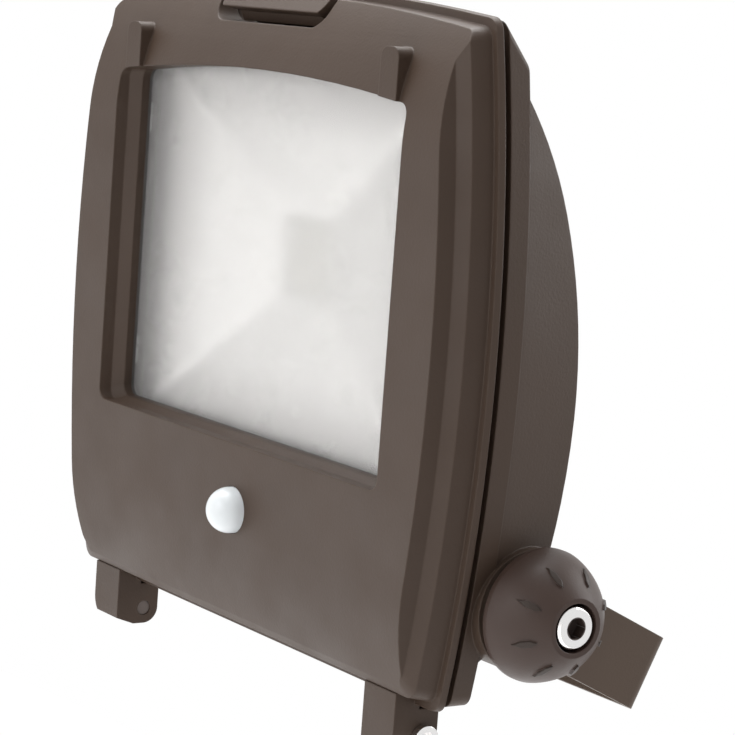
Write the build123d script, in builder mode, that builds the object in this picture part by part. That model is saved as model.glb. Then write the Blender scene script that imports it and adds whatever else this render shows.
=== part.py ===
"""Motion sensor security light: an LED floodlight head in a U bracket, in millimetres.

Every head piece is drawn in the head's own frame: X to the right, Y from the face to the back
with Y = 0 on the parting line between bezel and housing, Z up. The finished pieces are then turned
about the clamp bolts to the head's resting tilt, so that the bracket's base lies on the wall.
Final frame: origin on the wall at the middle of the bracket's base, +Y into the wall, +Z up.
"""

from build123d import *
from math import asin, atan2, cos, degrees, hypot, radians, sin, sqrt
import os

os.makedirs("parts", exist_ok=True)

# ---- driving dimensions: head outline, seen from the front ----
RIM_HALF_BOTTOM = 107.5      # half width of the rim at the bottom edge
RIM_HALF_MIDDLE = 120.0      # at Z = 0, the widest place of the barrel sides
RIM_HALF_TOP = 110.0         # at the top corners
RIM_BOTTOM = -105.5
RIM_TOP_CORNER = 101.5       # height of the top corners
RIM_TOP_MIDDLE = 107.0       # height of the arched top at its middle
RIM_CORNER = 5.0             # corner radius

# ---- bezel ----
FACE_DEPTH = 16.8            # parting line to the flat middle of the face
BOW_HIGH = 60.0              # the face curves back above this height
BOW_LOW = -66.0              # and below this one
BOW_R_TOP = 80.0
BOW_R_LOW = 89.0
LIP_THICK = 2.2              # thin lip at the rear of the bezel
LIP_WIDTH = 2.8              # from the rim in to the side wall
SHOULDER_REAR = -9.0         # the side steps in between these two depths
SHOULDER_FRONT = -11.6
WALL_DRAFT = 1.4             # taper of the side wall behind the shoulder
SHOULDER_STEP = 4.3
FACE_DRAFT = 1.5             # taper of the side wall in front of the shoulder
BEZEL_WALL = 3.0

# ---- window, glass and reflector ----
WINDOW_HALF = 88.0
WINDOW_LOW = -41.0
WINDOW_HIGH = 74.5           # at the corners
WINDOW_ARCH = 5.0            # rise of the arched top edge
WINDOW_CORNER = 4.0
WINDOW_DRAFT = 1.0           # taper of the window's outer side walls
LEDGE_DEPTH = -12.6          # the side walls step in from here
LEDGE_SLOPE = 3.4            # depth of the sloped ledge
LEDGE_WIDTH = 3.2            # and how far it reaches in
SILL_LIFT = 1.6              # rise of the sill over the same slope
SEAT_DEPTH = -6.3            # rear of the window's wall, where the gasket sits
TUNNEL_WALL = 3.4
GASKET_THICK = 1.0
GLASS_THICK = 4.0
GLASS_LAP = 2.5              # glass beyond the window
GASKET_LAP = 2.2
CLIP_THICK = 0.9
CLIP_X = 95.6                # clip screws beside the glass
CLIP_ZS = (-24.0, 58.0)
CLIP_REACH = 9.0             # from the screw in over the glass
CLIP_WIDTH = 10.0
CLIP_BOSS = 4.0
MOUTH_HALF = 80.0            # reflector's mouth
MOUTH_LOW = -41.0
MOUTH_HIGH = 76.0
MOUTH_Y = 2.5
THROAT_HALF = 13.0
THROAT_Y = 11.8
LAMP_Z = 19.0                # height of the emitter, the middle of the window
SHEET = 0.8                  # reflector sheet
FLANGE = 6.5

# ---- seal between bezel and housing ----
SEAL_INSET = 10.0            # rim to the edge of the cavity
SEAL_TOP = 87.0              # top of the cavity, below the latch notch
SEAL_CORNER = 6.0
CORD_WIDTH = 2.6             # gasket cord
CORD_OFFSET = 1.2            # cavity edge to the cord's groove
CORD_SINK = 2.2
CORD_FACE = 0.05             # front of the squeezed cord
CORD_FIT = 0.05

# ---- housing ----
LAND_Y = 0.6                 # front land of the housing
GROOVE_Y = 2.6               # shadow gap behind the bezel's lip
GROOVE_INSET = 4.0
BAND_INSET = 1.0
DRAFT_Y = 9.6                # draft line round the housing
TOP_SLOPE = 10.5             # how far the top falls from the rim to the draft line
BACK_DEPTH = 35.5            # crown of the bowed fins
CROWN_Z = -16.0
CROWN_R = 210.0
CROWN_SWEEP = 17.0
SHOULDER_R = 120.0
SHOULDER_SWEEP = 19.0
BELLY_R = 300.0
BELLY_SWEEP = 7.7
HEEL_R = 46.0
HEEL_SWEEP = 58.7
BACK_INSET = 6.5             # draft of the housing's sides at the crown
CORE_DEPTH = 25.5            # fins stand on this floor
CORE_HIGH = 30.0
CORE_LOW = -73.0
CORE_RIM = 13.0
HOUSING_WALL = 3.0
FIN_PITCH = 13.6
FIN_THICK = 2.6
FIN_COUNT = 15
PEDESTAL_HALF = 30.0
PEDESTAL_Y = 15.4
EMITTER_HALF = 20.0
EMITTER_THICK = 1.5
EMITTER_SCREW = 16.0
PHOSPHOR_R = 11.0
PHOSPHOR_THICK = 0.7
POST_R = 3.4

# ---- clamp: pivot, bosses, knobs and bolts ----
PIVOT_Y = 23.0
PIVOT_Z = -73.5
BOSS_R = 19.0
BOSS_PROUD = 2.0             # boss faces beyond the rim's side at that height
WASHER_THICK = 0.7
WASHER_R = 17.0
JOINT_GAP = 0.1              # flat faces of the clamp stack
STRIP = 3.0                  # bracket strip
STRIP_WIDTH = 24.0
WALL_REACH = 52.0            # pivot to wall
HEAD_TILT = 25.8             # head turned down from square to the wall
KNOB_GAP = 0.3
KNOB_R = 20.5
KNOB_HEIGHT = 18.2
KNOB_EDGE = 1.6
KNOB_TIP_R = 9.0
KNOB_BELLY_X = 11.6          # a point on the dome
KNOB_BELLY_R = 15.9
RECESS_R = 7.5
RECESS_DEPTH = 7.8
GRIP_COUNT = 8
GRIP_LENGTH = 5.0
GRIP_WIDTH = 1.8
GRIP_HEIGHT = 0.8
GRIP_RADIUS = 15.2           # where the grip marks lie on the dome
GRIP_START = 19.0
BOLT_R = 4.0                 # M8
BOLT_HEAD_R = 6.5
BOLT_HEAD = 8.0
BOLT_CHAMFER = 0.7
BOLT_SOCKET = 6.0            # across flats
BOLT_SOCKET_DEPTH = 4.2
BOLT_END = 94.0              # |X| of the bolt's inner end
BORE_GAP = 0.3               # bolt in its clearance holes
BOLT_BOSS_R = 8.0            # boss inside the wall, round the bolt's thread

# ---- bracket ----
BEND_R = 1.0
SLOT_SPACING = 120.0
SLOT_WIDTH = 8.5
SLOT_LENGTH = 20.0
CENTRE_HOLE = 10.5

# ---- bottom hinge ----
HINGE_Y = 1.4
HINGE_Z = -115.9
EAR_R = 5.5
EAR_FRONT = -9.3
EAR_CLEAR = 1.4              # lug's back below the housing, which it passes when it opens
EAR_IN = 78.5                # |X| of the lugs' inner and outer sides
EAR_OUT = 95.5
EAR_CORNER = 8.0
TONGUE_MID = 87.0
TONGUE_WIDTH = 6.0
TONGUE_GAP = 0.35
TONGUE_R = 4.9
HINGE_SCREW_R = 2.5
HINGE_FIT = 0.06
HINGE_HEAD_R = 4.2
HINGE_HEAD = 2.6
HINGE_DRIVE = 4.0

# ---- latch ----
NOTCH_X = -5.6               # the latch stands a little to the left
NOTCH_HALF = 33.0            # half width of the notch at its floor
NOTCH_FLARE = 1.6            # and how much wider it is at the rim
NOTCH_FLOOR = 94.0
NOTCH_REAR_FLOOR = 92.6      # floor of the same notch in the housing
NOTCH_CORNER = 7.0
LATCH_SIDE = 2.4             # gap between the latch and the notch's sides
LATCH_CORNER = 5.5           # round at the ends of its lip
LATCH_PIN_Y = 5.6
LATCH_PIN_Z = 97.3
LATCH_BARREL = 4.0
LATCH_FLOAT = 0.4            # latch above the notch floor
LATCH_PIN_R = 1.5
LATCH_PIN_FIT = 0.06
LATCH_GAP = 4.8              # gap seen under the latch from the front
LATCH_TIP = (-8.2, 98.8)     # side view of the latch: finger lip,
LATCH_CREST = (-4.0, 104.8)  # crest
LATCH_BACK = (1.5, 105.5)    # and back edge
LATCH_BEAD = 2.0             # half width of the pressing bead

# ---- sensor ----
DOME_X = 6.5
DOME_Z = -62.5
DOME_R = 7.5
DOME_SKIRT = 1.1
DOME_SHELL = 1.0
DOME_FLANGE = 10.0
DOME_FIT = 0.15
RING_RIM = 1.6
BOARD_THICK = 1.6
BOARD_Y = -6.0
BOARD_W = 58.0
BOARD_H = 27.0
BOARD_SCREW = 24.0
CAN_R = 4.6
CAN_H = 4.2
DIAL_R = 3.2
DIAL_H = 2.6
DIAL_PITCH = 12.0
DIAL_Z = -7.0                # below the board's middle
DIAL_GAP = 0.1

# ---- driver, terminals, gland ----
DRIVER_L = 108.0
DRIVER_H = 27.0
DRIVER_D = 13.0
DRIVER_RIGHT = 28.0          # the driver's right end, beside the terminals
DRIVER_Z = -63.0
DRIVER_CLEAR = 0.4           # driver's back to the bolt bosses
DRIVER_FOOT = 8.0
DRIVER_TAB = 1.5
TERMINAL_GAP = 2.0           # beside the driver's foot
TERMINAL_L = 24.0
TERMINAL_H = 15.0
TERMINAL_D = 11.0
TERMINAL_WAYS = 3
GLAND_X = 76.0
GLAND_UNDER = 1.5            # gland's nut below the reflector's posts
GLAND_R = 8.0                # M16 thread
GLAND_HEX = 20.0
GLAND_REACH = 15.0
GLAND_BORE = 4.5
GLAND_PAD = 12.5
GLAND_NUT = 3.5
GLAND_FLANGE = 4.0
GLAND_NECK = 7.0
EARTH_X = 62.0
EARTH_Z = -82.0
EARTH_Y = 12.0
SMALL_SCREW = 1.5            # M3
SMALL_HEAD = 2.8
SMALL_HEAD_H = 1.7
SMALL_LENGTH = 6.0
SMALL_DRIVE = 1.0
SMALL_FIT = 0.1
LOW_HEAD_H = 1.1

BOTH = (-1, 1)
GRIP_OUTLINE = ((-1, 0), (-0.4, -1), (0.4, -1), (1, 0), (0.4, 1), (-0.4, 1))     # pointed at both ends


def front(y):
    """A plane facing the viewer at depth Y, with its local x and y along X and Z."""
    return Plane.XZ.offset(-y)


def side(x):
    """A plane at X, with its local x and y along Y and Z."""
    return Plane.YZ.offset(x)


# the circle through the three stations of the rim's side
_a = (RIM_HALF_MIDDLE**2 - RIM_HALF_BOTTOM**2 - RIM_BOTTOM**2) / 2
_b = (RIM_HALF_MIDDLE**2 - RIM_HALF_TOP**2 - RIM_TOP_CORNER**2) / 2
_u, _v = RIM_HALF_MIDDLE - RIM_HALF_BOTTOM, RIM_HALF_MIDDLE - RIM_HALF_TOP
SIDE_Z = (_b * _u - _a * _v) / (-RIM_TOP_CORNER * _u + RIM_BOTTOM * _v)
SIDE_X = (_a + SIDE_Z * RIM_BOTTOM) / _u
SIDE_R = hypot(RIM_HALF_MIDDLE - SIDE_X, SIDE_Z)


def half_width(z):
    """Half width of the rim at height z."""
    return SIDE_X + sqrt(SIDE_R**2 - (z - SIDE_Z) ** 2)


BOSS_FACE = half_width(PIVOT_Z) + BOSS_PROUD
LATCH_HALF = NOTCH_HALF - LATCH_SIDE
DRIVER_X = DRIVER_RIGHT - DRIVER_L / 2
TERMINAL_X = DRIVER_RIGHT + DRIVER_FOOT + TERMINAL_GAP + TERMINAL_L / 2
POST_LOW = MOUTH_LOW - POST_R - 0.2      # middle of the lower reflector posts
GLAND_Z = POST_LOW - POST_R - GLAND_UNDER - GLAND_HEX / 2


def barrel(inset, drop=0.0, corner=RIM_CORNER):
    """The head's outline drawn in by inset, with its top lowered by drop."""
    low, high = RIM_BOTTOM + inset, RIM_TOP_CORNER - inset - drop
    middle = RIM_TOP_MIDDLE - inset - drop
    waist = (low + high) / 2
    with BuildLine() as path:
        right = ThreePointArc((half_width(low) - inset, low), (half_width(waist) - inset, waist),
                              (half_width(high) - inset, high))
        top = ThreePointArc(right @ 1, (0, middle), (-(right @ 1).X, high))
        left = ThreePointArc(top @ 1, (inset - half_width(waist), waist), (-(right @ 0).X, low))
        Line(left @ 1, right @ 0)
    outline = make_face(path.edges())
    fillet(outline.vertices(), corner)


def seal(grow):
    """The cavity's outline, which passes under the latch notch, grown by grow."""
    inset = SEAL_INSET - grow
    barrel(inset, drop=RIM_TOP_MIDDLE - inset - SEAL_TOP - grow, corner=SEAL_CORNER + grow)


def bow(wall):
    """Side view of everything behind the bowed face, less a wall."""
    y = wall - FACE_DEPTH
    top_sweep = degrees(asin((RIM_TOP_MIDDLE + 2 - BOW_HIGH) / BOW_R_TOP))
    low_sweep = degrees(asin((BOW_LOW - RIM_BOTTOM + 2) / BOW_R_LOW))
    with BuildLine() as path:
        flat = Line((y, BOW_LOW), (y, BOW_HIGH))
        up = JernArc(flat @ 1, (0, 1), BOW_R_TOP - wall, -top_sweep)
        down = JernArc(flat @ 0, (0, -1), BOW_R_LOW - wall, low_sweep)
        Polyline(up @ 1, (30, (up @ 1).Y), (30, (down @ 1).Y), down @ 1)
    make_face(path.edges())


def back_curve(keep):
    """Side view of the housing: bowed back from the top slope to the heel."""
    with BuildLine() as path:
        crown = JernArc((BACK_DEPTH, CROWN_Z), (0, 1), CROWN_R, CROWN_SWEEP)
        neck = JernArc(crown @ 1, crown % 1, SHOULDER_R, SHOULDER_SWEEP)
        belly = JernArc((BACK_DEPTH, CROWN_Z), (0, -1), BELLY_R, -BELLY_SWEEP)
        heel = JernArc(belly @ 1, belly % 1, HEEL_R, -HEEL_SWEEP)
        Polyline(neck @ 1, (keep, (neck @ 1).Y), (keep, (heel @ 1).Y), heel @ 1)
    make_face(path.edges())


def fin_gap():
    """Side view of the space between two fins, down to the casting's core."""
    with BuildLine() as path:
        Polyline((70, 98), (CORE_RIM, 98), (CORE_RIM, 76), (CORE_DEPTH, CORE_HIGH),
                 (CORE_DEPTH, CORE_LOW), (CORE_RIM + 4, -88), (CORE_RIM + 4, -112), (70, -112), close=True)
    make_face(path.edges())


def cavity_side():
    """Side view of the housing's cavity, one wall inside the core."""
    deep, rim, shelf = CORE_DEPTH - HOUSING_WALL, CORE_RIM - HOUSING_WALL, DRAFT_Y - HOUSING_WALL
    with BuildLine() as path:
        Polyline((-40, 100), (shelf, 100), (shelf, 80), (rim, 74), (deep, CORE_HIGH - 2), (deep, CORE_LOW + 2),
                 (rim + 4, -84), (shelf, -90), (shelf, -110), (-40, -110), close=True)
    make_face(path.edges())


def notch(floor, half, flare, corner, top=115.0):
    """Front view of the latch notch, or of the latch when given its own sizes."""
    rise = top - floor
    spread = half + flare * rise / (RIM_TOP_MIDDLE - NOTCH_FLOOR)
    with BuildLine() as path:
        Polyline((NOTCH_X - half, floor), (NOTCH_X + half, floor), (NOTCH_X + spread, top),
                 (NOTCH_X - spread, top), close=True)
    shape = make_face(path.edges())
    fillet(shape.vertices().sort_by(Axis.Y)[:2], corner)


def window(grow=0.0, taper=0.0, lift=0.0):
    """Front view of the window with its arched top edge: grown all round, sides drawn in, sill lifted."""
    half, low, high = WINDOW_HALF + grow - taper, WINDOW_LOW - grow + lift, WINDOW_HIGH + grow
    with BuildLine() as path:
        base = Line((-half, low), (half, low))
        right = Line(base @ 1, (half, high))
        top = ThreePointArc(right @ 1, (0, high + WINDOW_ARCH), (-half, high))
        Line(top @ 1, base @ 0)
    opening = make_face(path.edges())
    fillet(opening.vertices(), WINDOW_CORNER)


def ear_side():
    """Side view of a hinge lug: round about the hinge, straight up behind, a cheek up to the bezel in front."""
    with BuildLine() as path:
        back = Line((HINGE_Y + EAR_R, RIM_BOTTOM - EAR_CLEAR), (HINGE_Y + EAR_R, HINGE_Z))
        under = JernArc(back @ 1, (0, -1), EAR_R, -90)
        Polyline(under @ 1, (HINGE_Y - 4, HINGE_Z - EAR_R), (EAR_FRONT, HINGE_Z - EAR_R + 2.4),
                 (EAR_FRONT, RIM_BOTTOM + 4), (-0.4, RIM_BOTTOM + 4), (-0.4, RIM_BOTTOM - EAR_CLEAR), back @ 0)
    make_face(path.edges())


def peg(place, y, radius, length, sides=0, mode=Mode.ADD):
    """A round or hexagonal peg running back from depth y by length, or forwards when it is negative."""
    with BuildSketch(front(y)) as disc:
        with Locations(place):
            if sides:
                RegularPolygon(radius, sides, major_radius=False)
            else:
                Circle(radius)
    extrude(disc.sketch, amount=-length, mode=mode)


def screw(place, seat, way, head_h=SMALL_HEAD_H, length=SMALL_LENGTH):
    """A small hex-socket screw with its head on depth seat; its shaft runs forwards (-1) or back (1)."""
    peg(place, seat, SMALL_HEAD, -way * head_h)
    peg(place, seat, SMALL_SCREW, way * length)
    peg(place, seat - way * head_h, SMALL_DRIVE, way * head_h * 0.6, sides=6, mode=Mode.SUBTRACT)


HEAD_POSE = Location((0, -WALL_REACH, 0), (HEAD_TILT, 0, 0)) * Location((0, -PIVOT_Y, -PIVOT_Z))


def hand_in(piece, label, turned=True):
    """Label a piece, turn it with the head if it rides there, and write it."""
    part = piece.part.moved(HEAD_POSE) if turned else piece.part
    part.label = label
    export_step(part, f"parts/{label}.step")


# ---- front bezel ----
wall_rear = BEZEL_WALL - FACE_DEPTH
dome_y = -FACE_DEPTH - DOME_SKIRT
wall_front = LIP_WIDTH + WALL_DRAFT
face_rear = wall_front + SHOULDER_STEP
face_front = face_rear + FACE_DRAFT
bezel_steps = ((0, 0, -LIP_THICK, 0.4), (-LIP_THICK, LIP_WIDTH, SHOULDER_REAR, wall_front),
               (SHOULDER_REAR, wall_front, SHOULDER_FRONT, face_rear),
               (SHOULDER_FRONT, face_rear, -FACE_DEPTH - 1, face_front))

with BuildPart() as bezel_hollow:
    with BuildSketch(front(0)):
        seal(0)
    extrude(amount=FACE_DEPTH + 5)
    with BuildSketch(Plane.YZ):
        bow(BEZEL_WALL)
    extrude(amount=RIM_HALF_MIDDLE, both=True, mode=Mode.INTERSECT)

with BuildPart() as window_tunnel:
    with BuildSketch(front(SEAT_DEPTH)):
        window(grow=TUNNEL_WALL)
    extrude(amount=FACE_DEPTH)
    with BuildSketch(Plane.YZ):
        bow(BEZEL_WALL / 2)
    extrude(amount=RIM_HALF_MIDDLE, both=True, mode=Mode.INTERSECT)

ledge_rear = LEDGE_DEPTH + LEDGE_SLOPE
inner_taper = WINDOW_DRAFT + LEDGE_WIDTH

with BuildPart() as window_void:
    with BuildSketch(front(LEDGE_DEPTH)):
        window(taper=WINDOW_DRAFT)
    with BuildSketch(front(-FACE_DEPTH - 2)):
        window()
    loft(ruled=True)
    with BuildSketch(front(ledge_rear)):
        window(taper=inner_taper, lift=SILL_LIFT)
    with BuildSketch(front(LEDGE_DEPTH)):
        window(taper=WINDOW_DRAFT)
    loft(ruled=True)
    with BuildSketch(front(ledge_rear)):
        window(taper=inner_taper, lift=SILL_LIFT)
    extrude(amount=-(20 + ledge_rear))

rib_x = WINDOW_HALF - 10.0
ear_mid = (EAR_IN + EAR_OUT) / 2
ear_half = (EAR_OUT - EAR_IN) / 2

with BuildPart() as bezel_ribs:
    for s in BOTH:
        with BuildSketch(front(ledge_rear)) as rib:
            with Locations((s * rib_x, WINDOW_HIGH + 6.5)):
                Rectangle(9.5, 20)
            fillet(rib.vertices().group_by(Axis.Y)[-1], 3.4)
        extrude(amount=FACE_DEPTH + ledge_rear)

with BuildPart() as bezel_ears:
    for s in BOTH:
        with BuildSketch(side(s * ear_mid)):
            ear_side()
        extrude(amount=ear_half, both=True)
    with BuildSketch(front(30)) as ear_front:
        for s in BOTH:
            with Locations((s * ear_mid, HINGE_Z + 12 - EAR_R)):
                Rectangle(2 * ear_half, 24)
        fillet(ear_front.vertices().group_by(Axis.Y)[0].sort_by(Axis.X)[::3], EAR_CORNER)
    extrude(amount=60, mode=Mode.INTERSECT)

with BuildPart() as bezel_bosses:
    for s in BOTH:
        for z in CLIP_ZS:
            with BuildSketch(front(SEAT_DEPTH + GASKET_THICK + GLASS_THICK)):
                with Locations((s * CLIP_X, z)):
                    Circle(CLIP_BOSS)
            extrude(amount=FACE_DEPTH)
        with BuildSketch(front(BOARD_Y)):
            with Locations((DOME_X + s * BOARD_SCREW, DOME_Z)):
                Circle(SMALL_SCREW + 1.8)
        extrude(amount=FACE_DEPTH)
    with BuildSketch(Plane.YZ):
        bow(BEZEL_WALL / 2)
    extrude(amount=RIM_HALF_MIDDLE, both=True, mode=Mode.INTERSECT)

with BuildPart() as front_bezel:
    for rear_y, rear_inset, front_y, front_inset in bezel_steps:
        with BuildSketch(front(rear_y)):
            barrel(rear_inset)
        with BuildSketch(front(front_y)):
            barrel(front_inset)
        loft(ruled=True)
    with BuildSketch(Plane.YZ):
        bow(0)
    extrude(amount=RIM_HALF_MIDDLE + 5, both=True, mode=Mode.INTERSECT)
    add(bezel_hollow.part, mode=Mode.SUBTRACT)
    add(window_tunnel.part)
    add(bezel_ribs.part)
    add(window_void.part, mode=Mode.SUBTRACT)
    add(bezel_ears.part)
    add(bezel_bosses.part)
    # notch for the latch, right through the rim
    with BuildSketch(front(5)):
        notch(NOTCH_FLOOR, NOTCH_HALF, NOTCH_FLARE, NOTCH_CORNER)
    extrude(amount=40, mode=Mode.SUBTRACT)
    for s in BOTH:
        # slot for the housing's tongue, open behind, and the hinge holes
        with BuildSketch(side(s * TONGUE_MID)):
            with Locations((HINGE_Y, HINGE_Z)):
                Circle(EAR_R + 0.5)
            with Locations((HINGE_Y + EAR_R / 2 + 2, HINGE_Z)):
                Rectangle(EAR_R + 4, 2 * EAR_R + 1)
            with Locations((HINGE_Y + EAR_R / 2 - 0.7, HINGE_Z + EAR_R)):
                Rectangle(EAR_R + 3.4, 2 * EAR_R)
        extrude(amount=TONGUE_WIDTH / 2 + TONGUE_GAP, both=True, mode=Mode.SUBTRACT)
        with BuildSketch(side(s * ear_mid)):
            with Locations((HINGE_Y, HINGE_Z)):
                Circle(HINGE_SCREW_R + HINGE_FIT)
        extrude(amount=ear_half + 1, both=True, mode=Mode.SUBTRACT)
        # screw holes of the glass clips and the sensor board
        with BuildSketch(front(0)):
            with Locations(*[(s * CLIP_X, z) for z in CLIP_ZS]):
                Circle(SMALL_SCREW)
        extrude(amount=SMALL_LENGTH + 1, mode=Mode.SUBTRACT)
        with BuildSketch(front(BOARD_Y)):
            with Locations((DOME_X + s * BOARD_SCREW, DOME_Z)):
                Circle(SMALL_SCREW)
        extrude(amount=SMALL_LENGTH, mode=Mode.SUBTRACT)
    # hole for the sensor's dome
    with BuildSketch(front(0)):
        with Locations((DOME_X, DOME_Z)):
            Circle(DOME_R + DOME_FIT)
    extrude(amount=30, mode=Mode.SUBTRACT)
    peg((DOME_X, DOME_Z), wall_rear, DOME_FLANGE + RING_RIM + 0.2, 6, mode=Mode.SUBTRACT)
hand_in(front_bezel, "front_bezel")

# ---- window gasket, glass, clips ----
glass_front = SEAT_DEPTH + GASKET_THICK
glass_back = glass_front + GLASS_THICK

with BuildPart() as window_gasket:
    with BuildSketch(front(glass_front)):
        window(grow=GASKET_LAP)
    extrude(amount=GASKET_THICK)
    with BuildSketch(front(glass_front)):
        window(taper=inner_taper, lift=SILL_LIFT)
    extrude(amount=GASKET_THICK, mode=Mode.SUBTRACT)
hand_in(window_gasket, "window_gasket")

with BuildPart() as window_glass:
    with BuildSketch(front(glass_back)):
        window(grow=GLASS_LAP)
    extrude(amount=GLASS_THICK)
hand_in(window_glass, "window_glass")

with BuildPart() as glass_clips:
    for s in BOTH:
        for z in CLIP_ZS:
            with BuildSketch(front(glass_back + CLIP_THICK)) as clip:
                with Locations((s * (CLIP_X + (CLIP_BOSS - CLIP_REACH) / 2), z)):
                    RectangleRounded(CLIP_BOSS + CLIP_REACH, CLIP_WIDTH, 1.5)
                with Locations((s * CLIP_X, z)):
                    Circle(SMALL_SCREW + SMALL_FIT, mode=Mode.SUBTRACT)
            extrude(amount=CLIP_THICK)
hand_in(glass_clips, "glass_clips")


with BuildPart() as clip_screws:
    for s in BOTH:
        for z in CLIP_ZS:
            screw((s * CLIP_X, z), glass_back + CLIP_THICK, -1)
hand_in(clip_screws, "clip_screws")

# ---- movement sensor behind the lower face ----
dome_plane = Plane(origin=(DOME_X, 0, DOME_Z), x_dir=(1, 0, 0), z_dir=(0, 0, 1))
dome_axis = Axis((DOME_X, 0, DOME_Z), (0, 1, 0))

with BuildPart() as pir_dome:
    with BuildSketch(dome_plane):
        with BuildLine():
            outside = JernArc((0, dome_y - DOME_R), (1, 0), DOME_R, 90)
            Polyline(outside @ 1, (DOME_R, wall_rear), (DOME_FLANGE, wall_rear), (DOME_FLANGE, wall_rear + 1),
                     (DOME_R - DOME_SHELL, wall_rear + 1), (DOME_R - DOME_SHELL, dome_y))
            inside = JernArc((0, dome_y - DOME_R + DOME_SHELL), (1, 0), DOME_R - DOME_SHELL, 90)
            Line(inside @ 0, outside @ 0)
        make_face()
    revolve(axis=dome_axis)
hand_in(pir_dome, "pir_dome")

with BuildPart() as dome_ring:
    with BuildSketch(front(wall_rear + 1)):
        with Locations((DOME_X, DOME_Z)):
            Circle(DOME_FLANGE + RING_RIM)
            Circle(DOME_R, mode=Mode.SUBTRACT)
    extrude(amount=-1.6)
    with BuildSketch(front(wall_rear)):
        with Locations((DOME_X, DOME_Z)):
            Circle(DOME_FLANGE + RING_RIM)
            Circle(DOME_FLANGE + 0.1, mode=Mode.SUBTRACT)
    extrude(amount=-1.0)
hand_in(dome_ring, "dome_ring")

with BuildPart() as sensor_board:
    with BuildSketch(front(BOARD_Y + BOARD_THICK)):
        with Locations((DOME_X, DOME_Z)):
            RectangleRounded(BOARD_W, BOARD_H, 2)
        with Locations((DOME_X - BOARD_SCREW, DOME_Z), (DOME_X + BOARD_SCREW, DOME_Z)):
            Circle(SMALL_SCREW + SMALL_FIT, mode=Mode.SUBTRACT)
    extrude(amount=BOARD_THICK)
hand_in(sensor_board, "sensor_board")

with BuildPart() as board_screws:
    for s in BOTH:
        screw((DOME_X + s * BOARD_SCREW, DOME_Z), BOARD_Y + BOARD_THICK, -1)
hand_in(board_screws, "board_screws")

with BuildPart() as pir_element:
    with BuildSketch(front(BOARD_Y)):
        with Locations((DOME_X, DOME_Z)):
            Circle(CAN_R + 0.5)
    extrude(amount=0.6)
    with BuildSketch(front(BOARD_Y - 0.6)):
        with Locations((DOME_X, DOME_Z)):
            Circle(CAN_R)
    extrude(amount=CAN_H)
    with BuildSketch(front(BOARD_Y - 0.6 - CAN_H)):
        with Locations((DOME_X, DOME_Z)):
            Rectangle(4.6, 3.6)
    extrude(amount=-0.5, mode=Mode.SUBTRACT)
hand_in(pir_element, "pir_element")

dial_y = BOARD_Y + BOARD_THICK + DIAL_GAP
for i, name in enumerate(("time_dial", "range_dial", "light_dial")):
    with BuildPart() as dial:
        place = (DOME_X + (i - 1) * DIAL_PITCH, DOME_Z + DIAL_Z)
        with BuildSketch(front(dial_y)):
            with Locations(place):
                Circle(DIAL_R)
        extrude(amount=-DIAL_H)
        with BuildSketch(front(dial_y + DIAL_H)):
            with Locations(place):
                Rectangle(2 * DIAL_R - 1.6, 1.0)
                Rectangle(1.0, 2 * DIAL_R - 1.6)
        extrude(amount=1.0, mode=Mode.SUBTRACT)
    hand_in(dial, name)

# ---- rear housing ----
with BuildPart() as cavity:
    with BuildSketch(front(LAND_Y - 2)):
        seal(0)
    extrude(amount=-BACK_DEPTH)
    with BuildSketch(Plane.YZ):
        cavity_side()
    extrude(amount=RIM_HALF_MIDDLE, both=True, mode=Mode.INTERSECT)

driver_foot_y = PIVOT_Y - BOLT_BOSS_R - DRIVER_CLEAR
foot_xs = [DRIVER_X + s * (DRIVER_L + DRIVER_FOOT) / 2 for s in BOTH]
post_spots = [(s * (MOUTH_HALF + POST_R + 0.2), z) for s in BOTH
              for z in (POST_LOW, MOUTH_HIGH + POST_R - 0.8)]

emitter_spots = [(s * EMITTER_SCREW, LAMP_Z + t * EMITTER_SCREW) for s in BOTH for t in BOTH]

with BuildPart() as cord_groove:
    with BuildSketch(front(LAND_Y - 1)):
        seal(CORD_OFFSET + CORD_WIDTH)
    extrude(amount=-1 - CORD_SINK)
    with BuildSketch(front(LAND_Y - 1)):
        seal(CORD_OFFSET)
    extrude(amount=-10, mode=Mode.SUBTRACT)

with BuildPart() as inner_posts:
    with BuildSketch(front(PEDESTAL_Y)):
        with Locations((0, LAMP_Z)):
            Rectangle(2 * PEDESTAL_HALF, 2 * PEDESTAL_HALF)
    extrude(amount=-BACK_DEPTH)
    with BuildSketch(front(MOUTH_Y + SHEET)):
        with Locations(*post_spots):
            Circle(POST_R)
    extrude(amount=-BACK_DEPTH)
    with BuildSketch(front(driver_foot_y)):
        with Locations(*[(x, DRIVER_Z) for x in foot_xs]):
            Circle(DRIVER_FOOT / 2)
        with Locations((TERMINAL_X, DRIVER_Z)):
            Rectangle(TERMINAL_L - 2, TERMINAL_H - 2)
    extrude(amount=-BACK_DEPTH)
    with BuildSketch(front(EARTH_Y)):
        with Locations((EARTH_X, EARTH_Z)):
            Circle(POST_R + 1)
    extrude(amount=-BACK_DEPTH)
    add(cavity.part, mode=Mode.INTERSECT)

with BuildPart() as back_body:
    with BuildSketch(front(DRAFT_Y - 1)):
        barrel(BAND_INSET + 0.5, drop=TOP_SLOPE)
    with BuildSketch(front(BACK_DEPTH + 2)):
        barrel(BACK_INSET, drop=TOP_SLOPE)
    loft(ruled=True)
    with BuildSketch(Plane.YZ):
        back_curve(DRAFT_Y - 5)
    extrude(amount=RIM_HALF_MIDDLE, both=True, mode=Mode.INTERSECT)

with BuildPart() as fin_gaps:
    for i in range(FIN_COUNT):
        x = (i - (FIN_COUNT - 1) / 2) * FIN_PITCH
        with BuildSketch(side(x)):
            fin_gap()
        extrude(amount=(FIN_PITCH - FIN_THICK) / 2, both=True)

gland_face = CORE_DEPTH + 2.0

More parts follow.
